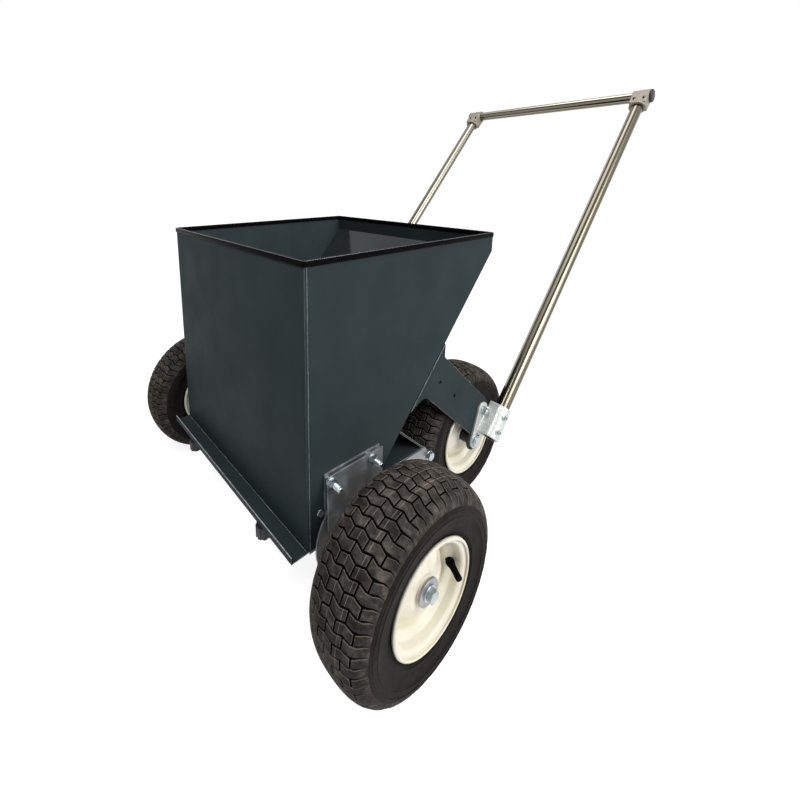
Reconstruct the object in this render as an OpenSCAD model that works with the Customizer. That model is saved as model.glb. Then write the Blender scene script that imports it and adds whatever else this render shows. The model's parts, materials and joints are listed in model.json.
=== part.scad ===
// Walk-behind lawn topdresser: a folded steel hopper on four pneumatic wheels,
// with a ground-driven feed roller, a sliding gate and a tubular push handle.
// X runs across the machine, Y from its front to its rear, Z upwards from the ground.
// Left is +X and right is -X, as the person at the handle sees the machine.
// Inside the modules Y starts at the front face of the hopper.

/* [Hopper] */
// Outside width of the hopper
hopper_w = 524; // [480:1:640]
// Depth of the hopper's mouth, front to rear
hopper_depth = 508; // [460:1:560]
// Height of the hopper's walls
hopper_h = 488; // [440:1:560]
// Height of the hopper's lower edge above the ground
hopper_z = 167; // [160:1:180]
// Depth of the hopper at its lower edge
throat_depth = 105; // [95:1:120]
// Height of the upright strip above the sloping rear wall
collar_h = 40; // [25:1:60]
// Thickness of the hopper's sheet
sheet = 2; // [1.5:0.5:2.5]
// Outside radius of the upright folds at the front corners
fold_r = 5; // [5:0.5:8]
// Reach of the lip in front of the hopper
lip_depth = 32; // [28:1:40]
// Height of the lip's turned-up edge
lip_rise = 12; // [8:1:20]
// Height of the rubber edging on the mouth
trim_h = 13; // [10:1:18]
// Rubber thickness of the edging on each side of the sheet
trim_t = 2.2; // [1.5:0.1:2.4]

/* [Wheels] */
// Radius of the tyres over the tread
tyre_r = 165; // [158:1:175]
// Width of the tyres
tyre_w = 117; // [112:1:125]
// Number of tread strips round a tyre
strip_count = 60; // [40:2:72]
// Width of the grooves between the strips
groove_w = 3.8; // [2:0.1:5]
// Depth of the grooves between the strips
tread_depth = 5; // [2:0.5:6]
// Radius of the rims over their flanges
rim_r = 89; // [86:1:91]
// Width of the rims over their flanges
rim_w = 104; // [100:1:108]
// Thickness of the rims' sheet
rim_t = 2.5; // [2:0.5:3]
// Length of the wheel hubs
hub_len = 82; // [76:1:86]
// Outside radius of the wheel hubs
hub_r = 20; // [19:0.5:22]
// Length of the spacers between the front bearings and the wheel hubs
spacer_len = 50.7; // [48:0.1:70]
// Length of the bushes between the rear arms and the wheel hubs
bushing_len = 22.7; // [22.7:0.1:60]
// Distance of the front axle behind the hopper's front
front_axle_y = 102; // [100:1:104]
// Distance of the rear axle behind the hopper's front
rear_axle_y = 482; // [478:1:490]
// Radius of both axles
axle_r = 10; // [8:0.5:11]

/* [Feed] */
// Radius of the feed roller's drum
roller_r = 52; // [46:1:54]
// Height of the ribs on the drum
rib_h = 2.5; // [1:0.5:3]
// Number of ribs round the drum
rib_count = 16; // [8:1:24]
// Thickness of the sliding gate
gate_t = 3.2; // [2:0.2:4]
// Travel of the gate from closed to open
gate_travel = 20; // [10:1:24]
// Distance of the gate's knobs from the machine's middle
knob_x = 158; // [120:1:200]
// Radius of the gate's knobs
knob_r = 15; // [12:0.5:18]
// Height of the gate's knobs
knob_h = 22; // [16:1:26]
// Thickness of the rubber wiper behind the roller
wiper_t = 3; // [2:0.5:4]

/* [Chassis] */
// Thickness of the zinc-plated side plates
plate_t = 3; // [2:0.5:4]
// Gap between the chassis plate and the outer bracket plate
plate_gap = 6; // [4:0.5:8]
// Radius of the discs behind the outer bracket plates
disc_r = 89; // [80:1:92]
// Thickness of the rear arms
arm_t = 4; // [3:0.5:5]
// Width of the rear arms
arm_w = 90; // [80:1:96]
// Radius of the spare holes in the arms
arm_hole_r = 4; // [3:0.5:5]
// Thickness of the folded cross member
cross_t = 3; // [2:0.5:4]

/* [Handle] */
// Outside diameter of the handle's tubes
tube_d = 31.8; // [25:0.1:34]
// Wall thickness of the handle's tubes
tube_wall = 2.6; // [1.5:0.1:3.2]
// Distance of the uprights' middles outside the clamps' palms
upright_gap = 22; // [22:0.5:32]
// Lean of the uprights from the vertical, in degrees
handle_lean = 43.1; // [40:0.1:45]
// Length of an upright from its clamp's middle to the crossbar
handle_len = 1127; // [900:1:1200]
// Distance of the clamps' middles behind the hopper's front
clamp_y = 526.5; // [524:0.5:532]
// Height of the clamps' middles above the ground
clamp_z = 205; // [203:0.5:209]
// Length of the clamps' sleeves
clamp_len = 78; // [70:1:80]
// Wall of the cast clamps and corner fittings
cast_wall = 5; // [4:0.5:6]
// Length of the corner fittings' sleeves
fitting_len = 46; // [40:1:54]

/* [Hidden] */
$fn = 64;

// Clearances
run_gap = 0.05;      // a shaft in its bearing, and a hub on its shaft
slide_gap = 0.1;     // the uprights in their clamps
air = 0.3;           // between pieces that move past each other

// Hopper planes
in_x = hopper_w / 2 - sheet;
out_x = hopper_w / 2;
top_z = hopper_z + hopper_h;
axle_z = tyre_r;
slope_lean = atan2(hopper_depth - throat_depth, hopper_h - collar_h);
slope_dir = [sin(slope_lean), cos(slope_lean)];
down_dir = [cos(slope_lean), -sin(slope_lean)];
throat = [throat_depth, hopper_z];
front_axle = [front_axle_y, axle_z];
rear_axle = [rear_axle_y, axle_z];

// A point on the rear face of the sloping wall, by its height
function slope_at(z) = throat + slope_dir * (z - hopper_z) / slope_dir[1];

// Roller and wiper
wiper_gap = 0.7;
panel_gap = 6;
rib_r = roller_r + rib_h;
foot_s = (front_axle - throat) * slope_dir;
panel_foot = throat + slope_dir * (foot_s + rib_r + panel_gap);
wiper_foot = throat + slope_dir * (foot_s + rib_r + wiper_gap);
wiper_len = 24;
roller_end = 3;

// Plates on the sides
chassis_out = out_x + plate_t;
bracket_in = chassis_out + plate_gap;
bracket_out = bracket_in + plate_t;
arm_out = in_x + arm_t;
disc_t = min(3, plate_gap - 1);
bearing_len = 18;
bearing_out = bracket_out + bearing_len;
front_wheel_x = bearing_out + air + spacer_len + hub_len / 2;
rear_wheel_x = in_x - bushing_len - air - hub_len / 2;

// Front bracket plate, measured from the front axle
bracket_top = 133;
bracket_front = -68;
bracket_rear = 58;
bracket_mid = 33;
bracket_foot_r = 46;
bolt_spots = [[-62, 122], [30, 122], [44, 58]];
bolt_d = 10;

// Tie tube clear of the rear tyres, and the cross member whose nose lies above it
chassis_z = 229;
tie_r = 7.5;
tie_gap = 4.5;
tie_z = 205;
tie_spot = [rear_axle_y - sqrt(pow(tyre_r + tie_r + tie_gap, 2) - pow(tie_z - axle_z, 2)), tie_z];
cross_nose = [tie_spot[0] - 16, chassis_z - cross_t / 2];
cross_high = throat + slope_dir * ((cross_nose - throat) * slope_dir);

// Rear arms
arm_low_z = 326;
arm_high_z = 440;
arm_drop = 29;
arm_low = slope_at(arm_low_z);
arm_high = slope_at(arm_high_z);
arm_start = arm_high - [0, arm_drop];
palm_top = rear_axle + [24, 69];
arm_lobe_r = 25;
arm_hollow_r = 25;
hole_start = 26;
hole_pitch = 73;
hole_inset = 47.5;
arm_holes = [for (i = [0, 1]) arm_start + (hole_start + i * hole_pitch) * down_dir - hole_inset * slope_dir];

// Bolts that hold the front wheels on their axle
hub_bolt_r = 6;
hub_bolt_len = 28;
hub_collar_t = 2;
hub_head_h = 10;
hub_washer_t = 4;
hub_washer_r = 22;

// Gate
gate_z = hopper_z - air - gate_t;
gate_front = -28;
gate_rear = 44;
gate_half = in_x - 3.5;
stud_y = -22;
stud_r = 4;
stud_len = 22;
rail_t = 3;
rail_w = 20;

// Handle
tube_r = tube_d / 2;
cast_r = tube_r + cast_wall;
palm_t = 6;
palm_r = 19;
palm_out = arm_out + palm_t;
handle_x = palm_out + upright_gap;
rear_axle_end = handle_x - tube_r - 2 * air;
bar = [clamp_y, clamp_z] + handle_len * [sin(handle_lean), cos(handle_lean)];
fitting_x = handle_x;
bar_half = handle_x + fitting_len / 2;
plug_t = 7;
screw_turn = 26;
clamp_screw_spots = [-20, 16];
clamp_screw_tail = 6;
clamp_boss_r = 7;
screw_r = 4;
socket_r = 2.2;
screw_hole = 40;
fitting_screw_spots = [-13, 13];

// The origin lies on the ground, in the middle of the machine's length
y_mid = (front_axle_y - tyre_r + bar[0] + cast_r) / 2;

// Colours
paint = [0.235, 0.27, 0.28];
zinc = [0.72, 0.74, 0.76];
cast_zinc = [0.76, 0.77, 0.76];
steel = [0.66, 0.65, 0.62];
cream = [0.93, 0.9, 0.81];
black = [0.06, 0.06, 0.06];
tyre_black = [0.1, 0.1, 0.1];

// General shapes

function unit(v) = v / norm(v);
function left_of(v) = [-v[1], v[0]];
function reversed(v) = [for (i = [len(v) - 1 : -1 : 0]) v[i]];

// The points of an open line moved sideways by d, mitred at its bends
function beside(line, d) = [
    for (i = [0 : len(line) - 1])
        let (
            before = unit(line[max(i, 1)] - line[max(i, 1) - 1]),
            after = i < len(line) - 1 ? unit(line[i + 1] - line[i]) : before,
            mitre = unit(left_of(before) + left_of(after))
        )
        line[i] + mitre * d / (mitre * left_of(after))
];

// The outline of a sheet of thickness t that follows an open line
function folded(line, t) = concat(beside(line, t / 2), reversed(beside(line, -t / 2)));

// Points of an arc round c from angle a0 to a1
function arc(c, r, a0, a1, steps = 8) = [
    for (i = [0 : steps]) c + r * [cos(a0 + (a1 - a0) * i / steps), sin(a0 + (a1 - a0) * i / steps)]
];

// Everything is drawn from the hopper's front face and then centred
module placed() {
    translate([0, -y_mid, 0]) children();
}

// Left side as drawn, or its mirror image on the right
module side(left) {
    if (left) {
        children();
    } else {
        mirror([1, 0, 0]) children();
    }
}

module both_sides() {
    children();
    mirror([1, 0, 0]) children();
}

// An outline in Y and Z, extruded along X
module across(x0, x1) {
    translate([x0, 0, 0]) rotate([90, 0, 90]) linear_extrude(x1 - x0) children();
}

// A rod along X at a point in Y and Z
module rod(at, x0, x1, r, sides = 0) {
    translate([x0, at[0], at[1]]) rotate([0, 90, 0]) cylinder(r = r, h = x1 - x0, $fn = sides > 0 ? sides : $fn);
}

// A ring along X at a point in Y and Z
module ring(at, x0, x1, r_out, r_in) {
    difference() {
        rod(at, x0, x1, r_out);
        rod(at, x0 - 1, x1 + 1, r_in);
    }
}

// A nut, a washer under it and the end of its bolt, along X
module nut_end(at, x, d, tail) {
    washer_t = d * 0.2;
    nut_t = d * 0.8;
    rod(at, x, x + washer_t, d);
    rod(at, x + washer_t, x + washer_t + nut_t, d * 0.92, 6);
    rod(at, x, x + washer_t + nut_t + tail, d / 2, 24);
}

// Angle from c1, on its right or left, of the tangent shared by two circles
function tangent(c1, r1, c2, r2, hand) =
    atan2(c2[1] - c1[1], c2[0] - c1[0]) + hand * acos((r1 - r2) / norm(c2 - c1));

// The outline of two discs and what lies between their outer tangents
function lobe(c1, r1, c2, r2) =
    let (from = tangent(c1, r1, c2, r2, 1), to = tangent(c1, r1, c2, r2, -1))
    concat(arc(c1, r1, from, to + 360, 16), arc(c2, r2, to, from, 16));

// Hopper

module front_panel() {
    placed() color(paint) {
        translate([0, 0, hopper_z]) linear_extrude(hopper_h) {
            translate([-(out_x - fold_r), 0]) square([2 * (out_x - fold_r), sheet]);
            for (m = [0, 1]) mirror([m, 0]) intersection() {
                translate([out_x - fold_r, fold_r]) difference() {
                    circle(fold_r);
                    circle(fold_r - sheet);
                }
                translate([out_x - fold_r, 0]) square(fold_r);
            }
        }
        lip_mid = [
            [sheet, hopper_z + sheet / 2],
            [-lip_depth + sheet / 2, hopper_z + sheet / 2],
            [-lip_depth + sheet / 2, hopper_z + lip_rise]
        ];
        across(-out_x, out_x) polygon(folded(lip_mid, sheet));
    }
}

module side_panel(left) {
    placed() color(paint) side(left) difference() {
        across(in_x, out_x) polygon([
            [fold_r, hopper_z], throat, slope_at(top_z - collar_h),
            [hopper_depth, top_z], [fold_r, top_z]
        ]);
        rod(front_axle, in_x - 1, out_x + 1, axle_r + 4);
    }
}

module rear_panel() {
    knee = slope_at(top_z - collar_h);
    line = [[knee[0], top_z], knee, panel_foot];
    placed() color(paint) across(-in_x, in_x) polygon(concat(line, reversed(beside(line, -sheet))));
}

// Outline of the mouth outside the walls, grown by g
function mouth(g) = concat(
    arc([out_x - fold_r, fold_r], fold_r + g, -90, 0),
    g > 0 ? arc([out_x, hopper_depth], g, 0, 90) : [[out_x, hopper_depth]],
    g > 0 ? arc([-out_x, hopper_depth], g, 90, 180) : [[-out_x, hopper_depth]],
    arc([-out_x + fold_r, fold_r], fold_r + g, 180, 270)
);

// Outline of the mouth inside the walls, shrunk by g
function inner_mouth(g) = concat(
    arc([out_x - fold_r, fold_r], fold_r - sheet - g, -90, 0),
    [[in_x - g, hopper_depth - sheet - g], [-in_x + g, hopper_depth - sheet - g]],
    arc([-out_x + fold_r, fold_r], fold_r - sheet - g, 180, 270)
);

module rim_edging() {
    edging_z = top_z + trim_t - trim_h;
    groove = trim_h - trim_t;
    placed() color(black) difference() {
        translate([0, 0, edging_z]) linear_extrude(trim_h) difference() {
            polygon(mouth(trim_t));
            polygon(inner_mouth(trim_t));
        }
        translate([0, 0, edging_z - 1]) linear_extrude(groove + 1) difference() {
            polygon(mouth(0));
            polygon(inner_mouth(0));
        }
    }
}

// Chassis

module cross_member() {
    floor_mid = chassis_z - cross_t / 2;
    line = [cross_high, cross_nose, [slope_at(floor_mid)[0], floor_mid]];
    placed() color(paint) difference() {
        across(-out_x, out_x) polygon(folded(line, cross_t));
        // The ends are mitred to lie on the sloping wall
        across(-out_x - 1, out_x + 1) polygon([
            slope_at(hopper_z), slope_at(top_z), slope_at(top_z) - 60 * down_dir, slope_at(hopper_z) - 60 * down_dir
        ]);
    }
}

module arm(left) {
    low_start = arm_start - arm_w * slope_dir;
    lobe_r = (arm_start - palm_top) * slope_dir;
    lobe_turn = tangent(palm_top, lobe_r, rear_axle, arm_lobe_r, 1);
    edge_rise = (low_start - rear_axle) * slope_dir;
    edge_turn = 180 - slope_lean - asin(edge_rise / arm_lobe_r);
    hollow_z = arm_low[1] + 14 - arm_hollow_r;
    hollow_s = low_start * slope_dir - arm_hollow_r;
    hollow = [(hollow_s - hollow_z * slope_dir[1]) / slope_dir[0], hollow_z];
    placed() color(paint) side(left) difference() {
        across(in_x, arm_out) polygon(concat(
            [arm_low, arm_high, arm_start],
            arc(palm_top, lobe_r, 90 - slope_lean, lobe_turn, 12),
            arc(rear_axle, arm_lobe_r, lobe_turn, edge_turn - 360, 20),
            arc(hollow, arm_hollow_r, 90 - slope_lean, 120, 8)
        ));
        rod(rear_axle, in_x - 1, arm_out + 1, axle_r + run_gap);
        rod(palm_top, in_x - 1, arm_out + 1, bolt_d / 2 + run_gap);
        for (h = arm_holes) rod(h, in_x - 1, arm_out + 1, arm_hole_r);
    }
}

module chassis_plate(left) {
    front = front_axle_y + bracket_front;
    rear_low = tie_spot + [14, -24];
    placed() color(zinc) side(left) difference() {
        across(out_x, chassis_out) polygon([
            [front, axle_z + bracket_top], [front_axle_y + bracket_rear, axle_z + bracket_top],
            [front_axle_y + bracket_rear, chassis_z], [cross_nose[0] + 3, chassis_z], rear_low,
            rear_low + [-16, -20], [front_axle_y + 45, axle_z - 62], [front_axle_y - 20, axle_z - 62],
            [front, axle_z - 20], [front, axle_z + bracket_mid]
        ]);
        rod(front_axle, out_x - 1, chassis_out + 1, axle_r + 4);
        rod(tie_spot, out_x - 1, chassis_out + 1, bolt_d / 2 + run_gap);
        for (s = bolt_spots) rod(front_axle + s, out_x - 1, chassis_out + 1, bolt_d / 2 + run_gap);
    }
}

module bracket_plate(left) {
    front_low = [bracket_front, bracket_mid];
    rear_low = [bracket_rear, bracket_mid];
    foot_from = atan2(front_low[1], front_low[0]) + acos(bracket_foot_r / norm(front_low));
    foot_to = 360 + atan2(rear_low[1], rear_low[0]) - acos(bracket_foot_r / norm(rear_low));
    placed() color(zinc) side(left) difference() {
        across(bracket_in, bracket_out) {
            polygon(concat(
                [for (c = [[bracket_rear, bracket_mid], [bracket_rear, bracket_top],
                    [bracket_front, bracket_top], [bracket_front, bracket_mid]]) front_axle + c],
                arc(front_axle, bracket_foot_r, foot_from, foot_to, 20)
            ));
        }
        rod(front_axle, bracket_in - 1, bracket_out + 1, axle_r + 4);
        for (s = bolt_spots) rod(front_axle + s, bracket_in - 1, bracket_out + 1, bolt_d / 2 + run_gap);
    }
}

// Bars and rings that hold the bracket plate off the chassis plate
module bracket_spacers() {
    placed() color(zinc) both_sides() difference() {
        union() {
            translate([chassis_out, front_axle_y + bracket_front, axle_z + bracket_top - 50])
                cube([plate_gap, 8, 46]);
            for (s = bolt_spots) rod(front_axle + s, chassis_out, bracket_in, bolt_d * 0.75);
        }
        for (s = bolt_spots) rod(front_axle + s, chassis_out - 1, bracket_in + 1, bolt_d / 2 + run_gap);
    }
}

module bracket_bolts() {
    placed() color(zinc) both_sides() for (s = bolt_spots) {
        rod(front_axle + s, out_x, bracket_out, bolt_d / 2, 24);
        nut_end(front_axle + s, bracket_out, bolt_d, bolt_d * 1.5);
    }
}

module axle_disc(left) {
    placed() color(steel) side(left) difference() {
        ring(front_axle, chassis_out, chassis_out + disc_t, disc_r, axle_r + 4);
        for (s = bolt_spots) rod(front_axle + s, chassis_out - 1, bracket_in, bolt_d * 0.75 + air);
    }
}

module axle_bearing(left) {
    flange_t = 5;
    flange_r = 30;
    placed() color(cast_zinc) side(left) difference() {
        union() {
            rod(front_axle, bracket_out, bracket_out + flange_t, flange_r);
            rod(front_axle, bracket_out, bearing_out, axle_r + 12);
        }
        rod(front_axle, bracket_out - 1, bearing_out + 1, axle_r + run_gap);
    }
}

module tie_tube() {
    placed() color(zinc) ring(tie_spot, -out_x, out_x, tie_r, bolt_d / 2 + run_gap);
}

module tie_bolts() {
    grip = 30;
    placed() color(zinc) both_sides() {
        rod(tie_spot, out_x - grip, chassis_out, bolt_d / 2, 24);
        rod(tie_spot, chassis_out, chassis_out + 2, bolt_d);
        rod(tie_spot, chassis_out + 2, chassis_out + 8, bolt_d * 0.92, 6);
    }
}

// Feed

module gate_rails() {
    rail_front = fold_r;
    leg_h = 30;
    placed() color(zinc) both_sides() difference() {
        translate([in_x - rail_w, rail_front, gate_z - air - rail_t])
            cube([rail_w, gate_rear - rail_front, leg_h]);
        translate([in_x - rail_w - 1, rail_front - 1, gate_z - air])
            cube([rail_w + 1 - rail_t, gate_rear - rail_front + 2, leg_h]);
    }
}

module gate_studs() {
    placed() color(zinc) both_sides() translate([knob_x, stud_y, hopper_z - stud_len])
        cylinder(r = stud_r, h = stud_len, $fn = 24);
}

module gate_plate() {
    slot_half = stud_r + 0.5;
    placed() color(zinc) difference() {
        translate([-gate_half, gate_front, gate_z]) cube([2 * gate_half, gate_rear - gate_front, gate_t]);
        both_sides() translate([knob_x, stud_y, gate_z - 1]) linear_extrude(gate_t + 2) {
            circle(slot_half);
            translate([0, gate_travel]) circle(slot_half);
            translate([-slot_half, 0]) square([2 * slot_half, gate_travel]);
        }
    }
}

module gate_knob(left) {
    flutes = 8;
    placed() color(black) side(left) translate([knob_x, stud_y, gate_z - air - knob_h]) difference() {
        cylinder(r = knob_r, h = knob_h);
        translate([0, 0, -1]) cylinder(r = stud_r + run_gap, h = knob_h + 2, $fn = 24);
        for (i = [0 : flutes - 1]) rotate(i * 360 / flutes) translate([knob_r + 2, 0, -1])
            cylinder(r = 3.5, h = knob_h + 2, $fn = 24);
    }
}

module rear_wiper() {
    inner = [wiper_foot, wiper_foot + wiper_len * slope_dir];
    placed() color(black) across(-in_x, in_x)
        polygon(concat(inner, reversed(beside(inner, -wiper_t))));
}

module wiper_bar() {
    bar_t = 4;
    start = panel_foot + 4 * slope_dir + wiper_t * down_dir;
    line = [start, start + 14 * slope_dir];
    placed() color(zinc) across(-in_x, in_x) polygon(concat(line, reversed(beside(line, -bar_t))));
}

module front_axle() {
    end_x = front_wheel_x + hub_len / 2;
    tapped = hub_bolt_len - hub_washer_t + 2;
    placed() color(zinc) difference() {
        rod(front_axle, -end_x, end_x, axle_r);
        both_sides() rod(front_axle, end_x - tapped, end_x + 1, hub_bolt_r + run_gap, 24);
    }
}

module feed_roller() {
    half = in_x - roller_end;
    wall = 3;
    disc = 6;
    placed() color(steel) {
        ring(front_axle, -half, half, roller_r, roller_r - wall);
        for (x = [-half, -disc / 2, half - disc]) ring(front_axle, x, x + disc, roller_r - wall / 2, axle_r + run_gap);
        for (i = [0 : rib_count - 1]) translate([-half, front_axle[0], front_axle[1]])
            rotate([i * 360 / rib_count, 0, 0]) translate([0, -2, roller_r - wall / 2])
                cube([2 * half, 4, rib_h + wall / 2]);
    }
}

// Wheels, drawn round their own middle with the outer side towards +X

seat_r = rim_r - 12.5;
well_r = seat_r - 10.5;
flange_x = (rim_w - rim_t) / 2;

module rim() {
    half_barrel = [
        [rim_r, flange_x], [seat_r + 4, flange_x], [seat_r, flange_x - 4], [seat_r, flange_x - 16],
        [well_r, flange_x - 24]
    ];
    barrel = concat(half_barrel, reversed([for (p = half_barrel) [p[0], -p[1]]]));
    dish = [
        [hub_r - 0.5, hub_len / 2 - 5], [hub_r + 10, hub_len / 2 - 5], [hub_r + 32, hub_len / 2 - 14],
        [well_r - 6, hub_len / 2 - 23], [well_r, hub_len / 2 - 27]
    ];
    difference() {
        union() {
            rotate([0, 90, 0]) rotate_extrude($fn = 96) polygon(folded(barrel, rim_t));
            rotate([0, 90, 0]) rotate_extrude($fn = 96) polygon(folded(dish, rim_t));
            ring([0, 0], -hub_len / 2, hub_len / 2, hub_r, hub_r - 2.5);
        }
        valve_place() cylinder(r = valve_r + air / 3, h = 2 * valve_cone, center = true, $fn = 32);
    }
}

// The valve leaves the barrel beside the dish and leans towards the axle
module valve_place() {
    translate([flange_x - 21.5, well_r + 4, 0]) rotate([0, 0, -28]) rotate([0, 90, 0]) children();
}

valve_r = 5.9;
valve_foot = 4;
valve_cone = 12;
valve_cap = 9;

module valve() {
    valve_place() {
        translate([0, 0, -valve_foot]) cylinder(r = valve_r, h = 2 * valve_foot, $fn = 32);
        translate([0, 0, valve_foot]) cylinder(r1 = 7.5, r2 = 5.2, h = valve_cone, $fn = 32);
        translate([0, 0, valve_foot + valve_cone]) cylinder(r1 = 4.8, r2 = 4.2, h = valve_cone, $fn = 32);
        translate([0, 0, valve_foot + 2 * valve_cone]) cylinder(r = 4.6, h = valve_cap, $fn = 32);
    }
}

tyre_mid_r = (rim_r + tyre_r) / 2;
crown_power = 0.8;

// A point of the tyre's crown: angle a is 0 at the tread's middle and 90 at the side
function crown(half_w, crown_r, a) = [
    tyre_mid_r + (crown_r - tyre_mid_r) * pow(cos(a), crown_power),
    sign(a) * half_w * pow(abs(sin(a)), crown_power)
];

// The other half, without the point that both halves share
function mirrored(half) = [for (i = [1 : len(half) - 1]) [half[i][0], -half[i][1]]];

// The tread ends at the fourth of these
crown_angles = [0, 22.5, 45, 67.5, 78.75, 90];
tread_angles = [-67.5, -45, -22.5, 0, 22.5, 45, 67.5];

// Half of the tyre's outside, from the tread's middle to the rim
function tyre_side(half_w, crown_r, foot, steps) = concat(
    [for (a = crown_angles) crown(half_w, crown_r, a)],
    [for (i = [1 : steps]) let (a = 90 * i / steps) [
        tyre_mid_r + (foot[0] - tyre_mid_r) * sin(a), foot[1] + (half_w - foot[1]) * cos(a)
    ]]
);

module tyre() {
    wall = 7;
    bead_x = flange_x - rim_t / 2 - 0.2;
    bead_r = seat_r + rim_t / 2 + 0.15;
    outer = concat(
        tyre_side(tyre_w / 2, tyre_r - tread_depth, [rim_r + 3, bead_x], 8),
        [[bead_r + 5, bead_x], [bead_r, bead_x - 5], [bead_r, bead_x - 13], [bead_r + 5, bead_x - 13]]
    );
    inner = tyre_side(tyre_w / 2 - wall, tyre_r - 11, [bead_r + 12, bead_x - 7], 6);
    rotate([0, 90, 0]) rotate_extrude($fn = 96)
        polygon(concat(outer, reversed(inner), mirrored(inner), reversed(mirrored(outer))));
    rotate([0, 90, 0]) for (i = [0 : strip_count - 1])
        rotate(180 + strip_turn + i * 360 / strip_count) tread_strip();
}

// A strip of the tread from shoulder to shoulder, rooted in the tyre's wall
strip_turn = 2.3;

module tread_strip() {
    root = 2;
    strip_angle = 360 / strip_count - groove_w / tyre_r * 180 / PI;
    top = [for (a = tread_angles) crown(tyre_w / 2, tyre_r, a)];
    bottom = [for (a = tread_angles) crown(tyre_w / 2 - root, tyre_r - tread_depth - root, a)];
    rotate(-strip_angle / 2) rotate_extrude(angle = strip_angle) polygon(concat(top, reversed(bottom)));
}

module front_wheel(left) {
    side(left) translate([front_wheel_x, front_axle_y, axle_z]) children();
}

module rear_wheel(left) {
    side(left) translate([rear_wheel_x, rear_axle_y, axle_z]) children();
}

// A short tube inside a hub, at each end of it or along all of it
module hub_tube(len) {
    difference() {
        rotate([0, 90, 0]) cylinder(r = hub_r - 2.5 - run_gap, h = len);
        translate([-1, 0, 0]) rotate([0, 90, 0]) cylinder(r = axle_r + run_gap, h = len + 2);
    }
}

module rear_bearings(left) {
    bearing_w = 12;
    placed() color(zinc) rear_wheel(left) for (x = [-hub_len / 2, hub_len / 2 - bearing_w])
        translate([x, 0, 0]) hub_tube(bearing_w);
}

module hub_sleeves() {
    placed() color(zinc) for (left = [true, false]) front_wheel(left)
        translate([-hub_len / 2, 0, 0]) hub_tube(hub_len);
}

module wheel_spacers() {
    placed() color(zinc) both_sides()
        ring(front_axle, bearing_out + air, front_wheel_x - hub_len / 2, axle_r + 5, axle_r + run_gap);
}

module hub_washers() {
    x = front_wheel_x + hub_len / 2;
    placed() color(zinc) both_sides() ring(front_axle, x, x + hub_washer_t, hub_washer_r, hub_bolt_r + run_gap);
}

module hub_bolts() {
    x = front_wheel_x + hub_len / 2 + hub_washer_t;
    placed() color(zinc) both_sides() {
        rod(front_axle, x - hub_bolt_len, x, hub_bolt_r, 24);
        rod(front_axle, x, x + hub_collar_t, hub_bolt_r * 2 + 1);
        rod(front_axle, x + hub_collar_t, x + hub_collar_t + hub_head_h, hub_bolt_r * 2 - 1, 6);
    }
}

// The axle and its thin nuts end short of the uprights, which slide past them
module rear_axle() {
    placed() color(zinc) rod(rear_axle, -rear_axle_end, rear_axle_end, axle_r);
}

module rear_axle_nuts() {
    washer_t = 1.5;
    nut_out = rear_axle_end - 0.5;
    placed() color(zinc) both_sides() {
        ring(rear_axle, palm_out, palm_out + washer_t, axle_r + 7, axle_r + run_gap);
        difference() {
            rod(rear_axle, palm_out + washer_t, nut_out, axle_r + 7, 6);
            rod(rear_axle, palm_out, nut_out + 1, axle_r + run_gap);
        }
    }
}

module rear_axle_spacer() {
    half = rear_wheel_x - hub_len / 2 - air;
    placed() color(zinc) ring(rear_axle, -half, half, axle_r + 4, axle_r + run_gap);
}

module hub_bushings() {
    inner = rear_wheel_x + hub_len / 2 + air;
    placed() color(black) both_sides() ring(rear_axle, inner, in_x, axle_r + 5, axle_r + run_gap);
}

// Handle

// Along an upright: local Z follows the tube, from the clamp's middle
module on_upright(d) {
    translate([handle_x, clamp_y, clamp_z]) rotate([-handle_lean, 0, 0]) translate([0, 0, d]) children();
}

// The places of a clamp's two set screws, local X outwards through the sleeve
module at_clamp_screws() {
    for (d = clamp_screw_spots) on_upright(d) rotate([0, 0, -screw_turn]) rotate([0, 90, 0]) children();
}

module handle_clamp(left) {
    placed() color(cast_zinc) side(left) difference() {
        union() {
            on_upright(-clamp_len / 2) cylinder(r = cast_r, h = clamp_len);
            on_upright(-clamp_len / 2) translate([palm_out - 1 - handle_x, -cast_r, 0])
                cube([handle_x - palm_out + 1, 2 * cast_r, clamp_len]);
            across(arm_out, palm_out) polygon(lobe(palm_top, palm_r, rear_axle, palm_r));
            at_clamp_screws() translate([0, 0, tube_r + 1]) cylinder(r = clamp_boss_r, h = cast_wall + 1);
        }
        on_upright(-clamp_len) cylinder(r = tube_r + slide_gap, h = 2 * clamp_len);
        rod(rear_axle, arm_out - 1, palm_out + 1, axle_r + run_gap);
        rod(palm_top, arm_out - 1, palm_out + 1, bolt_d / 2 + run_gap);
        at_clamp_screws() cylinder(r = screw_r + run_gap, h = screw_hole, $fn = 24);
    }
}

module clamp_screws() {
    placed() color(zinc) both_sides() at_clamp_screws() difference() {
        translate([0, 0, tube_r + air]) cylinder(r = screw_r, h = cast_wall + clamp_screw_tail, $fn = 24);
        translate([0, 0, tube_r + cast_wall + clamp_screw_tail - 4]) cylinder(r = socket_r, h = screw_hole, $fn = 6);
    }
}

module clamp_bolts() {
    placed() color(zinc) both_sides() {
        rod(palm_top, in_x - 8, palm_out, bolt_d / 2, 24);
        rod(palm_top, in_x - 8, in_x, bolt_d * 0.92, 6);
        nut_end(palm_top, palm_out, bolt_d, 2);
    }
}

module upright(left) {
    foot = -clamp_len / 2;
    head = handle_len - cast_r - 1;
    placed() color(steel) side(left) difference() {
        on_upright(foot) cylinder(r = tube_r, h = head - foot);
        on_upright(foot - 1) cylinder(r = tube_r - tube_wall, h = head - foot + 2);
    }
}

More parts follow.
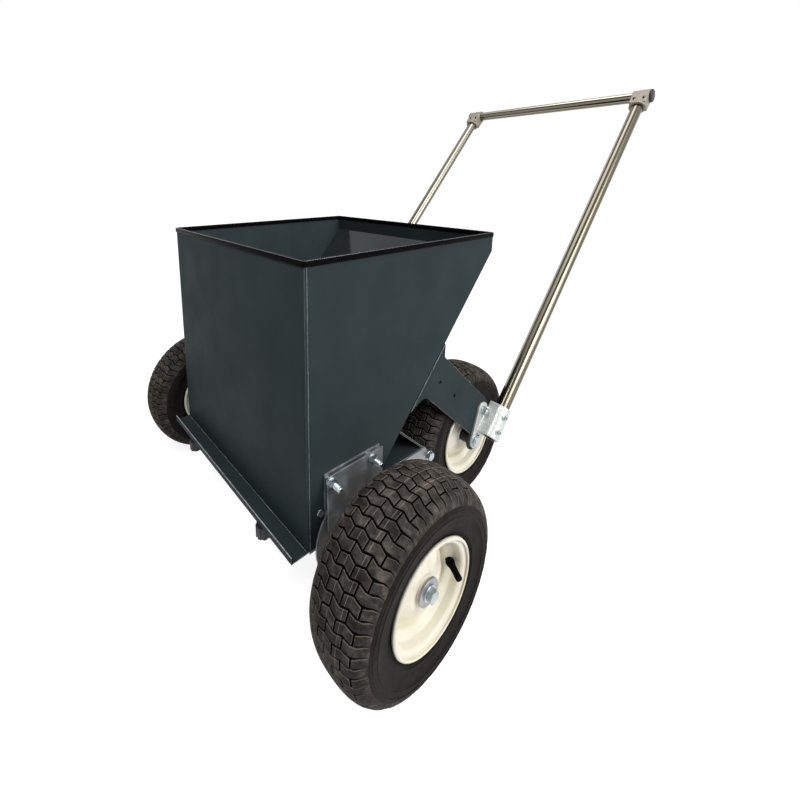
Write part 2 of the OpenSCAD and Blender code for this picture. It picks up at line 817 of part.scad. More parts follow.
module crossbar() {
    placed() {
        color(steel) ring(bar, -bar_half, bar_half, tube_r, tube_r - tube_wall);
        color(black) both_sides() {
            rod(bar, bar_half - 12, bar_half, tube_r - tube_wall);
            rod(bar, bar_half, bar_half + plug_t - 2, cast_r - 0.5);
            translate([bar_half + plug_t - 2, bar[0], bar[1]]) rotate([0, 90, 0])
                cylinder(r1 = cast_r - 0.5, r2 = cast_r - 3.5, h = 2);
        }
    }
}

module corner_fitting(left) {
    socket_len = cast_r + 30;
    rim_h = 5;
    placed() color(cast_zinc) side(left) difference() {
        union() {
            rod(bar, fitting_x - fitting_len / 2, fitting_x + fitting_len / 2, cast_r);
            on_upright(handle_len - socket_len) cylinder(r = cast_r, h = socket_len);
            on_upright(handle_len - socket_len) cylinder(r = cast_r + 2.5, h = rim_h);
            on_upright(handle_len - socket_len + rim_h) translate([-cast_r - 1, -cast_r + 0.5, 0])
                cube([2 * cast_r + 2, 2 * cast_r - 1, socket_len - rim_h]);
        }
        rod(bar, fitting_x - fitting_len, fitting_x + fitting_len, tube_r + run_gap);
        on_upright(handle_len - socket_len - 1) cylinder(r = tube_r + run_gap, h = socket_len + 1);
        at_fitting_screws() cylinder(r = screw_r + run_gap, h = screw_hole, $fn = 24);
    }
}

// The places of a corner fitting's two set screws, local Z outwards to the front
module at_fitting_screws() {
    for (x = fitting_screw_spots) translate([fitting_x + x, bar[0], bar[1]]) rotate([90 + 12, 0, 0]) children();
}

module fitting_screws() {
    placed() color(zinc) both_sides() at_fitting_screws() difference() {
        translate([0, 0, tube_r + air]) cylinder(r = screw_r, h = cast_wall + 1, $fn = 24);
        translate([0, 0, tube_r + cast_wall - 2]) cylinder(r = socket_r, h = screw_hole, $fn = 6);
    }
}

front_panel();
side_panel(true);  // side_panel_left
side_panel(false);  // side_panel_right
rear_panel();
rim_edging();
cross_member();
arm(true);  // arm_left
arm(false);  // arm_right
chassis_plate(true);  // chassis_plate_left
chassis_plate(false);  // chassis_plate_right
bracket_plate(true);  // bracket_plate_left
bracket_plate(false);  // bracket_plate_right
bracket_spacers();
bracket_bolts();
axle_disc(true);  // axle_disc_left
axle_disc(false);  // axle_disc_right
axle_bearing(true);  // axle_bearing_left
axle_bearing(false);  // axle_bearing_right
tie_tube();
tie_bolts();
gate_rails();
gate_studs();
rear_wiper();
wiper_bar();
rear_axle();
rear_axle_nuts();
rear_axle_spacer();
hub_bushings();
handle_clamp(true);  // handle_clamp_left
handle_clamp(false);  // handle_clamp_right
clamp_bolts();
clamp_screws();
front_axle();
feed_roller();
hub_sleeves();
wheel_spacers();
hub_washers();
hub_bolts();
placed() color(cream) front_wheel(true) rim();  // front_rim_left
placed() color(cream) front_wheel(false) rim();  // front_rim_right
placed() color(tyre_black) front_wheel(true) tyre();  // front_tyre_left
placed() color(tyre_black) front_wheel(false) tyre();  // front_tyre_right
placed() color(black) both_sides() front_wheel(true) valve();  // front_valves
placed() color(cream) rear_wheel(true) rim();  // rear_rim_left
placed() color(tyre_black) rear_wheel(true) tyre();  // rear_tyre_left
rear_bearings(true);  // rear_bearings_left
placed() color(black) rear_wheel(true) valve();  // rear_valve_left
placed() color(cream) rear_wheel(false) rim();  // rear_rim_right
placed() color(tyre_black) rear_wheel(false) tyre();  // rear_tyre_right
rear_bearings(false);  // rear_bearings_right
placed() color(black) rear_wheel(false) valve();  // rear_valve_right
gate_plate();
gate_knob(true);  // gate_knob_left
gate_knob(false);  // gate_knob_right
upright(true);  // upright_left
upright(false);  // upright_right
crossbar();
corner_fitting(true);  // corner_fitting_left
corner_fitting(false);  // corner_fitting_right
fitting_screws();
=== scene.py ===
# %% [markdown]
# A walk-behind lawn topdresser: a folded steel hopper on four pneumatic wheels, with a tubular handle.
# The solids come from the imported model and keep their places. This notebook gives them finishes, and
# replaces the pieces whose real surface has more detail than a solid can hold, such as the tyres.

import json
import math

import bmesh
import bpy
from mathutils import Matrix, Vector


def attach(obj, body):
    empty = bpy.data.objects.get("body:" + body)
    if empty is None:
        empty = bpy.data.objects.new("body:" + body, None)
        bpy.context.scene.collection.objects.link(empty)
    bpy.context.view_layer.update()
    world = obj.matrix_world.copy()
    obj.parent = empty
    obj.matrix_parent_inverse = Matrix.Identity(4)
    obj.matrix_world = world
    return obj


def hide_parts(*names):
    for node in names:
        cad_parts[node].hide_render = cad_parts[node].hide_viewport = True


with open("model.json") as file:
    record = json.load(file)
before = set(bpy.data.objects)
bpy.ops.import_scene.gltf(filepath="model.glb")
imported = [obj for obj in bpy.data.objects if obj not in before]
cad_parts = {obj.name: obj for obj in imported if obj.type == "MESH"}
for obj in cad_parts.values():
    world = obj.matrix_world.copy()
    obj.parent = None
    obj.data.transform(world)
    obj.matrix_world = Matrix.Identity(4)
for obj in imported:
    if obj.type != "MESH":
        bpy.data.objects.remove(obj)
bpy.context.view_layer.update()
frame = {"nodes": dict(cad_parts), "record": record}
nodes = frame["nodes"]

# %% [markdown]
# The machine is measured in millimetres from the front face of its hopper, because every part of it
# is easiest to place from there. The model's own origin lies in the middle of its length, so one
# function turns hopper millimetres into the scene's metres.

# %% Sizes and places
TYRE_R, TYRE_W, RIM_R = 165, 117, 89
FRONT_WHEEL_X, FRONT_AXLE_Y = 384, 102
REAR_WHEEL_X, REAR_AXLE_Y = 196, 482
TUBE_R, CAST_R = 15.9, 20.9
HANDLE_LEAN, HANDLE_LEN = math.radians(43.1), 1127
CLAMP_Y, CLAMP_Z = 526.5, 205
BAR_Y = CLAMP_Y + HANDLE_LEN * math.sin(HANDLE_LEAN)
BAR_Z = CLAMP_Z + HANDLE_LEN * math.cos(HANDLE_LEAN)
MIDDLE_Y = (FRONT_AXLE_Y - TYRE_R + BAR_Y + CAST_R) / 2


def place(x, y, z):
    """Hopper millimetres to metres in the scene."""
    return Vector((x, y - MIDDLE_Y, z)) / 1000


print("crossbar at", [round(v, 4) for v in place(0, BAR_Y, BAR_Z)])

# %% [markdown]
# The photograph was taken from close by with a wide lens, from a little above the hopper. The camera
# below has the place and the lens that make the hopper's corners, the tyres and the handle fall where
# they do in the picture.

# %% Camera
EYE = place(734.09, -332.47, 771.94)
LOOK_AZIMUTH, LOOK_DOWN, ROLL = math.radians(50.151), math.radians(10.661), math.radians(0.078)
FOCAL, CENTRE_X, CENTRE_Y, PICTURE = 413.385, 336.99, 256.37, 800  # pixels
SENSOR = 36

level = math.cos(LOOK_DOWN)
back = Vector((math.sin(LOOK_AZIMUTH) * level, -math.cos(LOOK_AZIMUTH) * level, math.sin(LOOK_DOWN)))
right = Vector((math.cos(LOOK_AZIMUTH), math.sin(LOOK_AZIMUTH), 0))
axes = Matrix((right, back.cross(right), back)).transposed().to_4x4()
eye_data = bpy.data.cameras.new("camera")
eye_data.sensor_width = SENSOR
eye_data.lens = FOCAL / PICTURE * SENSOR
eye_data.shift_x = (PICTURE / 2 - CENTRE_X) / PICTURE
eye_data.shift_y = (CENTRE_Y - PICTURE / 2) / PICTURE
eye_data.clip_start, eye_data.clip_end = 0.02, 60
eye = bpy.data.objects.new("camera", eye_data)
eye.matrix_world = Matrix.Translation(EYE) @ axes @ Matrix.Rotation(ROLL, 4, "Z")
bpy.context.scene.collection.objects.link(eye)
bpy.context.scene.camera = eye
bpy.context.scene.view_settings.view_transform = "Standard"
print("lens", round(eye_data.lens, 2), "shift", round(eye_data.shift_x, 3), round(eye_data.shift_y, 3))

# %% [markdown]
# A material is a small graph of nodes. One function writes a hex colour, as a paint chart gives it, in
# the linear numbers that the shader wants, and another adds a node with its settings and its links.
# Most finishes are then made in the same way: a noise, measured in millimetres, that varies the colour
# or the roughness through a ramp, or raises a bump.


# %% Helpers for materials
def colour(hex_value):
    """An sRGB hex value as a linear colour."""
    parts = [int(hex_value[i:i + 2], 16) / 255 for i in (1, 3, 5)]
    return [c / 12.92 if c <= 0.04045 else ((c + 0.055) / 1.055) ** 2.4 for c in parts] + [1]


def grey(value):
    return (value, value, value, 1)


def add(tree, kind, settings=None, **inputs):
    """A node of that kind. Settings are its own properties; inputs are values or sockets to link from."""
    node = tree.nodes.new("ShaderNode" + kind)
    for name, value in (settings or {}).items():
        setattr(node, name, value)
    for name, value in inputs.items():
        socket = node.inputs[int(name[1:]) if name[0] == "_" else name.replace("_", " ")]
        if isinstance(value, bpy.types.NodeSocket):
            tree.links.new(value, socket)
        else:
            socket.default_value = value
    return node


def start(name, **surface):
    """An empty material with its shader, and the piece's own coordinates in millimetres."""
    material = bpy.data.materials.new(name)
    material.use_nodes = True
    tree = material.node_tree
    tree.nodes.clear()
    shader = add(tree, "BsdfPrincipled", **surface)
    add(tree, "OutputMaterial", Surface=shader.outputs[0])
    metres = add(tree, "TexCoord").outputs["Object"]
    millimetres = add(tree, "VectorMath", {"operation": "SCALE"}, _0=metres, Scale=1000)
    return material, tree, shader, millimetres.outputs[0]


def noise(tree, where, scale, detail, roughness=0.5):
    """A noise with so many lumps to a millimetre, broken up by so many finer ones."""
    node = add(tree, "TexNoise", Vector=where, Scale=scale, Detail=detail, Roughness=roughness)
    return node.outputs[0]


def ramp(tree, value, *stops):
    """A ramp through (position, shade) stops. A shade is a hex colour, or a number for a grey."""
    node = add(tree, "ValToRGB", _0=value)
    elements = node.color_ramp.elements
    for position, _ in stops[2:]:
        elements.new(position)
    for element, (position, shade) in zip(elements, stops):
        element.position = position
        element.color = colour(shade) if isinstance(shade, str) else grey(shade)
    return node.outputs["Color"]


def vary(tree, shader, name, value, *stops):
    """Varies the shader's colour or roughness with a value, through a ramp."""
    tree.links.new(ramp(tree, value, *stops), shader.inputs[name])


def emboss(tree, shader, height, strength, distance):
    """Raises the surface by a bump. The distance is in metres."""
    bump = add(tree, "Bump", Strength=strength, Distance=distance, Height=height)
    tree.links.new(bump.outputs[0], shader.inputs["Normal"])


def maths(tree, operation, first, second=0.5):
    """The result of one operation on two values or sockets, or on the first alone."""
    return add(tree, "Math", {"operation": operation}, _0=first, _1=second).outputs[0]


def stretched(tree, vector, factors):
    """A vector with each of its parts multiplied by a factor."""
    return add(tree, "VectorMath", {"operation": "MULTIPLY"}, _0=vector, _1=factors).outputs[0]


def carried(tree, name, kind="Fac"):
    """An attribute that the mesh carries from point to point."""
    return add(tree, "Attribute", {"attribute_name": name}).outputs[kind]


def blend(tree, share, under, over):
    """A hex colour laid over another colour, as far as the share says."""
    return add(tree, "MixRGB", Fac=share, Color1=under, Color2=colour(over)).outputs[0]


print("helpers for materials ready")

# %% [markdown]
# The hopper is powder coated in anthracite grey. Baked powder flows into a skin with a faint orange
# peel, ripples about 1.5 mm apart, and reads as a satin gloss. The ripples are a bump, and two slow
# noises vary the colour and the gloss a little, as handled sheet does. The sloping wall inside is
# slicker and mirrors the open mouth. Sheared edges take a pale grey, a painted highlight that draws a
# light line along each of them, and the outermost line of the front folds takes a lighter grey, a
# painted highlight on the fold.

# %% Powder coat on steel sheet
powder, tree, shader, mm = start("powder_coat_anthracite", Roughness=0.4, IOR=1.5, Specular_IOR_Level=0.015)
vary(tree, shader, "Base Color", noise(tree, mm, 0.012, 3), (0.3, "#30393B"), (0.7, "#363F41"))
vary(tree, shader, "Roughness", noise(tree, mm, 0.02, 4), (0.3, 0.36), (0.7, 0.48))
emboss(tree, shader, noise(tree, mm, 0.6, 2), 0.12, 0.00015)

slick_powder, tree, shader, mm = start(
    "powder_coat_rubbed_smooth", Roughness=0.12, IOR=1.5, Specular_IOR_Level=0.32,
)
clouds = noise(tree, mm, 0.012, 3)
vary(tree, shader, "Base Color", clouds, (0.3, "#23292B"), (0.7, "#2B3133"))
emboss(tree, shader, clouds, 0.05, 0.0002)

# Painted highlight: a pale grey for the narrow cut edges of painted sheet.
cut_edge_painted_highlight, tree, shader, mm = start(
    "powder_coat_painted_edge_highlight", Roughness=0.3, IOR=1.5, Specular_IOR_Level=0.4,
)
vary(tree, shader, "Base Color", noise(tree, mm, 0.15, 4), (0.35, "#858C8F"), (0.65, "#C4CACC"))

# Painted highlight: a lighter grey for the outermost line of the front folds.
fold_painted_highlight, tree, shader, mm = start("powder_coat_painted_fold_highlight", Roughness=0.35, Specular_IOR_Level=0.1)
vary(tree, shader, "Base Color", noise(tree, mm, 0.05, 3), (0.3, "#4A5255"), (0.7, "#626A6D"))
print("made", powder.name, slick_powder.name, cut_edge_painted_highlight.name, fold_painted_highlight.name)

# %% [markdown]
# The bolts, axles and gate are bright zinc plated. Zinc plate is a thin metal skin with a bluish
# passivation, smooth in the plate and slightly clouded where it was handled.

# %% Zinc plate
zinc, tree, shader, mm = start("bright_zinc_plate", Metallic=1.0, Roughness=0.3)
clouds = noise(tree, mm, 0.05, 4)
vary(tree, shader, "Base Color", clouds, (0.3, "#8E999F"), (0.7, "#B9C2C6"))
vary(tree, shader, "Roughness", clouds, (0.25, 0.24), (0.75, 0.38))
emboss(tree, shader, noise(tree, mm, 1.2, 2), 0.08, 0.0001)
print("made", zinc.name)

# %% [markdown]
# The plates on the hopper's sides are rolled sheet under the same plating. Their large flats show how
# dark the bare plating is: a grey between the clouds, with a bluish bloom where the passivation lies
# thicker, and the fine grain that the rolling mill leaves. The big stamped washers on the hubs are
# plated too, but duller and without the bloom.

# %% Plated sheet and washers
rolled_zinc, tree, shader, mm = start("zinc_plated_rolled_sheet", Metallic=0.7, Roughness=0.36)
bloom = noise(tree, mm, 0.016, 3, 0.55)
vary(tree, shader, "Base Color", bloom, (0.35, "#7C7D7F"), (0.55, "#909295"), (0.7, "#B4C3CB"))
vary(tree, shader, "Roughness", bloom, (0.3, 0.3), (0.75, 0.46))
mill_grain = noise(tree, stretched(tree, mm, (1, 0.05, 1)), 1, 2)
emboss(tree, shader, mill_grain, 0.1, 0.0001)

washer_zinc, tree, shader, mm = start("zinc_plated_washer", Metallic=0.9, Roughness=0.4)
vary(tree, shader, "Base Color", noise(tree, mm, 0.12, 3), (0.3, "#8B8B8E"), (0.7, "#A6A6A9"))
print("made", rolled_zinc.name, washer_zinc.name)

# %% [markdown]
# The handle clamps are malleable iron castings, galvanised hot. The dip leaves a bright and slightly
# lumpy coat: soft lumps a few millimetres across over the grit of the sand mould.

# %% Galvanised casting
casting, tree, shader, mm = start("galvanised_iron_casting", Metallic=0.6, Roughness=0.42)
lumps = noise(tree, mm, 0.25, 5, 0.6)
vary(tree, shader, "Base Color", lumps, (0.35, "#AEB3B0"), (0.65, "#D6D9D5"))
vary(tree, shader, "Roughness", lumps, (0.3, 0.5), (0.7, 0.34))
emboss(tree, shader, maths(tree, "ADD", lumps, noise(tree, mm, 0.9, 3)), 0.25, 0.0003)
print("made", casting.name)

# %% [markdown]
# The corner fittings are cast too, but duller: a warm grey skin with a fine grit and no bright coat.

# %% Dull casting
dull_casting, tree, shader, mm = start(
    "dull_grey_casting", Metallic=0.25, Roughness=0.55, Specular_IOR_Level=0.25,
)
vary(tree, shader, "Base Color", noise(tree, mm, 0.3, 5), (0.3, "#8E887B"), (0.7, "#A39D90"))
emboss(tree, shader, noise(tree, mm, 1.1, 3), 0.2, 0.0002)
print("made", dull_casting.name)

# %% [markdown]
# The handle is drawn stainless tube. Drawing leaves faint streaks that run the whole length of a
# tube, some of them duller than others. The strong dark and light bands in the colour are painted
# reflection, of a dark room and bright lamps, laid over those streaks. They follow the tube, so each
# tube carries an attribute: the direction round its girth and the distance along it. Stretching the
# attribute far more round the tube than along it makes streaks out of a plain noise.

# %% Stainless tube
stainless, tree, shader, mm = start("drawn_stainless_tube", Metallic=1.0, Roughness=0.24)
wrap = carried(tree, "wrap", "Vector")
streaks_and_painted_reflection = noise(tree, stretched(tree, wrap, (3, 3, 0.25)), 1, 1)
scratches = noise(tree, stretched(tree, wrap, (9, 9, 1)), 1, 1)
# The darkest and lightest tones are painted reflection, laid along the tube over its drawn streaks.
streak_and_reflection_tones = (0.36, "#34312A"), (0.46, "#6E695B"), (0.57, "#7F7A6B"), (0.65, "#BDB8A8")
vary(tree, shader, "Base Color", streaks_and_painted_reflection, *streak_and_reflection_tones)
vary(tree, shader, "Roughness", scratches, (0.3, 0.16), (0.7, 0.3))
print("made", stainless.name)

# %% [markdown]
# The wheels are pressed steel in a cream stoving enamel: glossy, with a soft waviness from the
# pressing under it.

# %% Cream enamel
enamel, tree, shader, mm = start("cream_stoving_enamel", Roughness=0.28, IOR=1.5, Specular_IOR_Level=0.4)
waves = noise(tree, mm, 0.03, 3)
vary(tree, shader, "Base Color", waves, (0.3, "#E9E4D1"), (0.7, "#F1ECDB"))
emboss(tree, shader, waves, 0.15, 0.0006)
print("made", enamel.name)

# %% [markdown]
# Tyre rubber is matt black when clean. The carcass stays nearly so, while the tops of the tread blocks
# have been rolled over soil and hold a brown dust that a coarse noise breaks up. The blocks' edges
# carry a paler line, a painted highlight, the grooves are darkened towards black, a painted shade,
# and where the mould's parts met, two thin lines of flash run round the tyre. The mesh carries two
# attributes for this: how deep a point lies in a groove, from 0 to 1, and how far it is across the
# tread in millimetres.

# %% Tyre rubber
FLASH_LINES = (-1, 22)
FLASH_HALF_WIDTH = 0.45


def painted_groove_shade(tree, base):
    """Darkens a colour down into the grooves by the depth that the tyre's mesh carries: a painted shade."""
    return blend(tree, ramp(tree, carried(tree, "depth"), (0.2, 0), (0.55, 1)), base, "#0B0A0A")


carcass_rubber, tree, shader, mm = start(
    "tyre_rubber_sidewall", Roughness=0.55, IOR=1.5, Specular_IOR_Level=0.03,
)
clean = ramp(tree, noise(tree, mm, 0.06, 5, 0.6), (0.3, "#191816"), (0.7, "#272522"))
tree.links.new(painted_groove_shade(tree, clean), shader.inputs["Base Color"])
emboss(tree, shader, noise(tree, mm, 0.5, 3), 0.2, 0.0003)

tread_rubber, tree, shader, mm = start(
    "tyre_rubber_dusty_tread", Roughness=0.7, IOR=1.5, Specular_IOR_Level=0.05,
)
dust = noise(tree, mm, 0.05, 7, 0.7)
dusty = ramp(tree, dust, (0.35, "#211F1D"), (0.52, "#3C3936"), (0.68, "#645C55"))
# Painted highlight: a paler band on the bevel and the top of each block's sides.
painted_edge_highlight = ramp(tree, carried(tree, "depth"), (0.02, 0), (0.08, 0.6), (0.15, 0.5), (0.25, 0))
with_edge_highlight = blend(tree, painted_edge_highlight, dusty, "#807669")
across = carried(tree, "across")
seams = []
for seam_at in FLASH_LINES:
    distance = maths(tree, "ABSOLUTE", maths(tree, "SUBTRACT", across, seam_at))
    seams.append(maths(tree, "LESS_THAN", distance, FLASH_HALF_WIDTH))
flash = maths(tree, "MULTIPLY", maths(tree, "MAXIMUM", *seams), dust)
lined = blend(tree, flash, with_edge_highlight, "#9A8D80")
tree.links.new(painted_groove_shade(tree, lined), shader.inputs["Base Color"])
emboss(tree, shader, dust, 0.4, 0.0005)
print("made", carcass_rubber.name, tread_rubber.name)

# %% [markdown]
# Black rubber is extruded for the edging of the mouth. Its surface is nearly black, with a bumped
# row of beads where the metal clips inside press through. A glossier strip beside its crest takes a
# lighter grey broken into beads, a painted highlight. The small knobs, bushes and plugs are moulded
# black plastic with a fine spark-eroded grain.


# %% Rubber edging and moulded plastic
def beads(tree, where):
    """Slanting waves about 7 mm apart."""
    return add(tree, "TexWave", {"bands_direction": "DIAGONAL"}, Vector=where, Scale=0.15, Distortion=0)


edging_rubber, tree, shader, mm = start(
    "extruded_black_rubber", Roughness=0.22, IOR=1.5, Specular_IOR_Level=0.012,
)
vary(tree, shader, "Base Color", noise(tree, mm, 0.4, 3), (0.3, "#08080A"), (0.7, "#0E0E10"))
emboss(tree, shader, beads(tree, mm).outputs[1], 0.25, 0.0002)

# Painted highlight: a lighter grey in beads, for the strip beside the edging's crest.
crest_painted_highlight, tree, shader, mm = start("rubber_crest_painted_highlight", Roughness=0.18, IOR=1.5, Specular_IOR_Level=0.5)
vary(tree, shader, "Base Color", beads(tree, mm).outputs[0], (0.3, "#1A1A1C"), (0.7, "#6A6A6C"))

plastic, tree, shader, mm = start("moulded_black_plastic", Roughness=0.45, IOR=1.46, Specular_IOR_Level=0.4)
spark = noise(tree, mm, 2, 2)
vary(tree, shader, "Base Color", spark, (0.3, "#151515"), (0.7, "#1D1D1D"))
emboss(tree, shader, spark, 0.25, 0.0002)
print("made", edging_rubber.name, crest_painted_highlight.name, plastic.name)

# %% [markdown]
# The feed roller is mild steel, dulled by damp top dressing.

# %% Dulled steel
dull_steel, tree, shader, mm = start("dulled_mild_steel", Metallic=0.9, Roughness=0.5)
stain = noise(tree, mm, 0.04, 6, 0.6)
vary(tree, shader, "Base Color", stain, (0.3, "#4C4B49"), (0.7, "#6B6A67"))
vary(tree, shader, "Roughness", stain, (0.3, 0.42), (0.7, 0.6))
emboss(tree, shader, stain, 0.1, 0.0002)
print("made", dull_steel.name)

# %% [markdown]
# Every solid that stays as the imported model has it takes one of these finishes, chosen by the slot
# that the record gives it. The corner fittings share a slot with the clamps but are duller.

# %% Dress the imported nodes
FINISHES = {
    "anthracite_paint": powder, "zinc_plate": zinc, "cast_fitting": casting, "stainless_tube": stainless,
    "roller_steel": dull_steel, "cream_paint": enamel, "tyre": carcass_rubber,
    "black_rubber": edging_rubber, "black_plastic": plastic,
}
slot_of = {part["node"]: part["material_slot"] for part in frame["record"]["subparts"]}
for name, node in nodes.items():
    for material_slot in node.material_slots:
        material_slot.material = FINISHES[slot_of[name]]
for name in ("corner_fitting_left", "corner_fitting_right"):
    nodes[name].material_slots[0].material = dull_casting
print("dressed", len(nodes), "nodes")

# %% [markdown]
# A new piece is built in millimetres, usually round its own axis, and then moved to its place in its
# mesh, so that its object stays at the origin as the imported nodes do. This function does the last
# steps for all of them: it makes the mesh, sets the smooth shading with sharp edges kept, hangs the
# piece on the body it rides on and hides the imported nodes it stands for. Where a big flat meets a
# narrow bend, the flat's own direction has to win, or the bend's shading runs far into it.

# %% Helpers for pieces
both_sides = (("left", 1), ("right", -1))


def finish_piece(name, mesh_data, materials, body, replaced=(), sharp=35, flats=False):
    """Turns a bmesh in scene metres into a piece that rides on a body."""
    mesh = bpy.data.meshes.new(name)
    mesh_data.to_mesh(mesh)
    mesh_data.free()
    for material in materials:
        mesh.materials.append(material)
    mesh.shade_smooth()
    mesh.set_sharp_from_angle(angle=math.radians(sharp))
    piece = bpy.data.objects.new(name, mesh)
    bpy.context.scene.collection.objects.link(piece)
    if flats:
        weighted = piece.modifiers.new("flat_shading", "WEIGHTED_NORMAL")
        weighted.keep_sharp, weighted.weight = True, 80
    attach(piece, body)
    if replaced:
        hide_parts(*replaced)
    return piece


def move_to(mesh_data, x, y, z, side=1):
    """From millimetres round the piece's own axis to its place, mirrored for the right side."""
    bmesh.ops.scale(mesh_data, vec=(side, 1, 1), verts=mesh_data.verts)
    if side < 0:
        bmesh.ops.reverse_faces(mesh_data, faces=mesh_data.faces)
    bmesh.ops.translate(mesh_data, vec=(side * x, y - MIDDLE_Y, z), verts=mesh_data.verts)
    bmesh.ops.scale(mesh_data, vec=(0.001, 0.001, 0.001), verts=mesh_data.verts)


def turned(profile, steps=96):
    """A closed profile of (x, radius) points, spun round the X axis."""
    shape = bmesh.new()
    corners = [shape.verts.new((x, 0, r)) for x, r in profile]
    edges = [shape.edges.new((a, b)) for a, b in zip(corners, corners[1:] + corners[:1])]
    bmesh.ops.spin(
        shape, geom=corners + edges, cent=(0, 0, 0), axis=(1, 0, 0),
        angle=2 * math.pi, steps=steps, use_merge=True,
    )
    bmesh.ops.remove_doubles(shape, verts=shape.verts, dist=0.001)
    bmesh.ops.recalc_face_normals(shape, faces=shape.faces)
    return shape


def bevel(shape, edges, width, segments):
    """Breaks the given edges of a bmesh."""
    bmesh.ops.bevel(
        shape, geom=edges, offset=width, segments=segments, profile=0.5,
        affect="EDGES", clamp_overlap=True, material=-1,
    )


def round_edges(shape, width, segments, above):
    """Bevels every edge that bends by more than an angle in degrees."""
    bent = [e for e in shape.edges if len(e.link_faces) == 2 and e.calc_face_angle(0) > math.radians(above)]
    bevel(shape, bent, width, segments)


def copy_of(node_name):
    """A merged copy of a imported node's mesh, with its flat faces joined up again."""
    shape = bmesh.new()
    shape.from_mesh(nodes[node_name].data)
    bmesh.ops.remove_doubles(shape, verts=shape.verts, dist=0.000005)
    bmesh.ops.dissolve_limit(shape, angle_limit=math.radians(0.5), verts=shape.verts, edges=shape.edges)
    return shape


print("helpers ready")

# %% [markdown]
# The tyres are turf tyres, and their tread is what the eye meets first. It is easiest to make flat
# and to bend afterwards, so the first thing to have is the curve of the tyre from the middle of its
# tread to its side, with the distance along it.

# %% The tyre's curve
TREAD_PITCHES = 30
GROOVE_DEPTH = 5.5
CROWN_POWER = 0.8
CROWN_STEPS = 400
MIDDLE_R = (RIM_R + TYRE_R) / 2


def crown_point(angle):
    """A point on the outer curve of the tyre, from 0 at the tread's middle to a right angle at its side."""
    rise = TYRE_R - MIDDLE_R
    return Vector((
        TYRE_W / 2 * math.sin(angle) ** CROWN_POWER,
        MIDDLE_R + rise * math.cos(angle) ** CROWN_POWER,
    ))


crown = [crown_point(math.pi / 2 * i / CROWN_STEPS) for i in range(CROWN_STEPS + 1)]
crown_length = [0.0]
for a, b in zip(crown, crown[1:]):
    crown_length.append(crown_length[-1] + (b - a).length)


def on_crown(across, height):
    """(x, radius) at a distance over the tyre from the tread's middle, raised along the normal."""
    distance = min(abs(across), crown_length[-1] - 0.01)
    i = next(k for k in range(CROWN_STEPS) if crown_length[k + 1] > distance)
    share = (distance - crown_length[i]) / (crown_length[i + 1] - crown_length[i])
    point = crown[i].lerp(crown[i + 1], share)
    along = (crown[i + 1] - crown[i]).normalized()
    point = point + Vector((-along.y, along.x)) * height
    return math.copysign(point.x, across), point.y


print("half of the crown is", round(crown_length[-1], 1), "mm long")

# %% [markdown]
# The tread is a row of zig-zag strips that run from shoulder to shoulder, thirty pairs round the
# tyre. Each strip is cut into blocks, and the cuts of one strip lie half way between those of the
# next. A flat block is a grid, extruded and bevelled. One pair of strips is a pitch.

# %% One pitch of the tread
STRIP_PITCH = 2 * math.pi * TYRE_R / TREAD_PITCHES / 2
STRIP_WIDTH = 13.6
TREAD_TURN = math.radians(8.3)
CUT_SPACING = 29.3
HALF_CUT = 1.5
ZIGZAG = 2.5
WIDENS_FROM, SHOULDER = 55, 69
BLOCK_H = GROOVE_DEPTH + 1  # one millimetre of it stands in the groove's floor
BLOCK_ROWS = 4
BLOCK_EDGE = 0.7


def clamped(value):
    return min(1, max(0, value))


def zigzag(across):
    """How far a strip leans round the tyre, from one cut line to the next."""
    share = (abs(across) / (CUT_SPACING / 2)) % 2
    return ZIGZAG * (1 - 2 * share if share < 1 else 2 * share - 3)


def half_strip(across):
    """Half of a strip's width. The strips widen over the shoulder until they close the grooves."""
    share = clamped((abs(across) - WIDENS_FROM) / (SHOULDER - WIDENS_FROM))
    return (STRIP_WIDTH + (STRIP_PITCH - STRIP_WIDTH) * share) / 2


def tread_block(shape, strip, start_at, end_at):
    """One block of a strip, raised from the groove floor to the tread, still flat: x across, y round."""
    grid = bmesh.ops.create_grid(shape, x_segments=BLOCK_ROWS, y_segments=1, size=1)["verts"]
    for vert in grid:
        across = start_at + (vert.co.x + 1) / 2 * (end_at - start_at)
        vert.co = (across, strip + vert.co.y * half_strip(across) + zigzag(across), -BLOCK_H)
    flat = list({face for vert in grid for face in vert.link_faces})
    raised = bmesh.ops.extrude_face_region(shape, geom=flat, use_keep_orig=True)["geom"]
    top = [part for part in raised if isinstance(part, bmesh.types.BMVert)]
    bmesh.ops.translate(shape, vec=(0, 0, BLOCK_H), verts=top)


# Each strip's blocks on one side, from cut to cut; None stands for the shoulder.
STRIPS = ((0, ((0, 1), (1, None))), (STRIP_PITCH, ((0.5, 1.5), (1.5, None))))
tread = bmesh.new()
for side in (-1, 1):
    for strip, spans in STRIPS:
        for low, high in spans:
            end = SHOULDER if high is None else high * CUT_SPACING - HALF_CUT
            tread_block(tread, strip, side * (low * CUT_SPACING + HALF_CUT), side * end)
tread_block(tread, STRIP_PITCH, -CUT_SPACING / 2 + HALF_CUT, CUT_SPACING / 2 - HALF_CUT)
bmesh.ops.recalc_face_normals(tread, faces=tread.faces)
top_edges = [
    e for e in tread.edges
    if len(e.link_faces) == 2 and all(v.co.z > -0.1 for v in e.verts) and e.calc_face_angle(0) > 1
]
bevel(tread, top_edges, BLOCK_EDGE, 1)
print("faces in a pitch of the tread:", len(tread.faces))

# %% [markdown]
# The pitch is bent onto the curve, and a spin repeats it round the axle. The carcass under the blocks
# is one closed ring: the groove floor, the shoulders, the sidewalls with their moulded rings and the
# beads inside the rim. It is a profile spun round the axle.

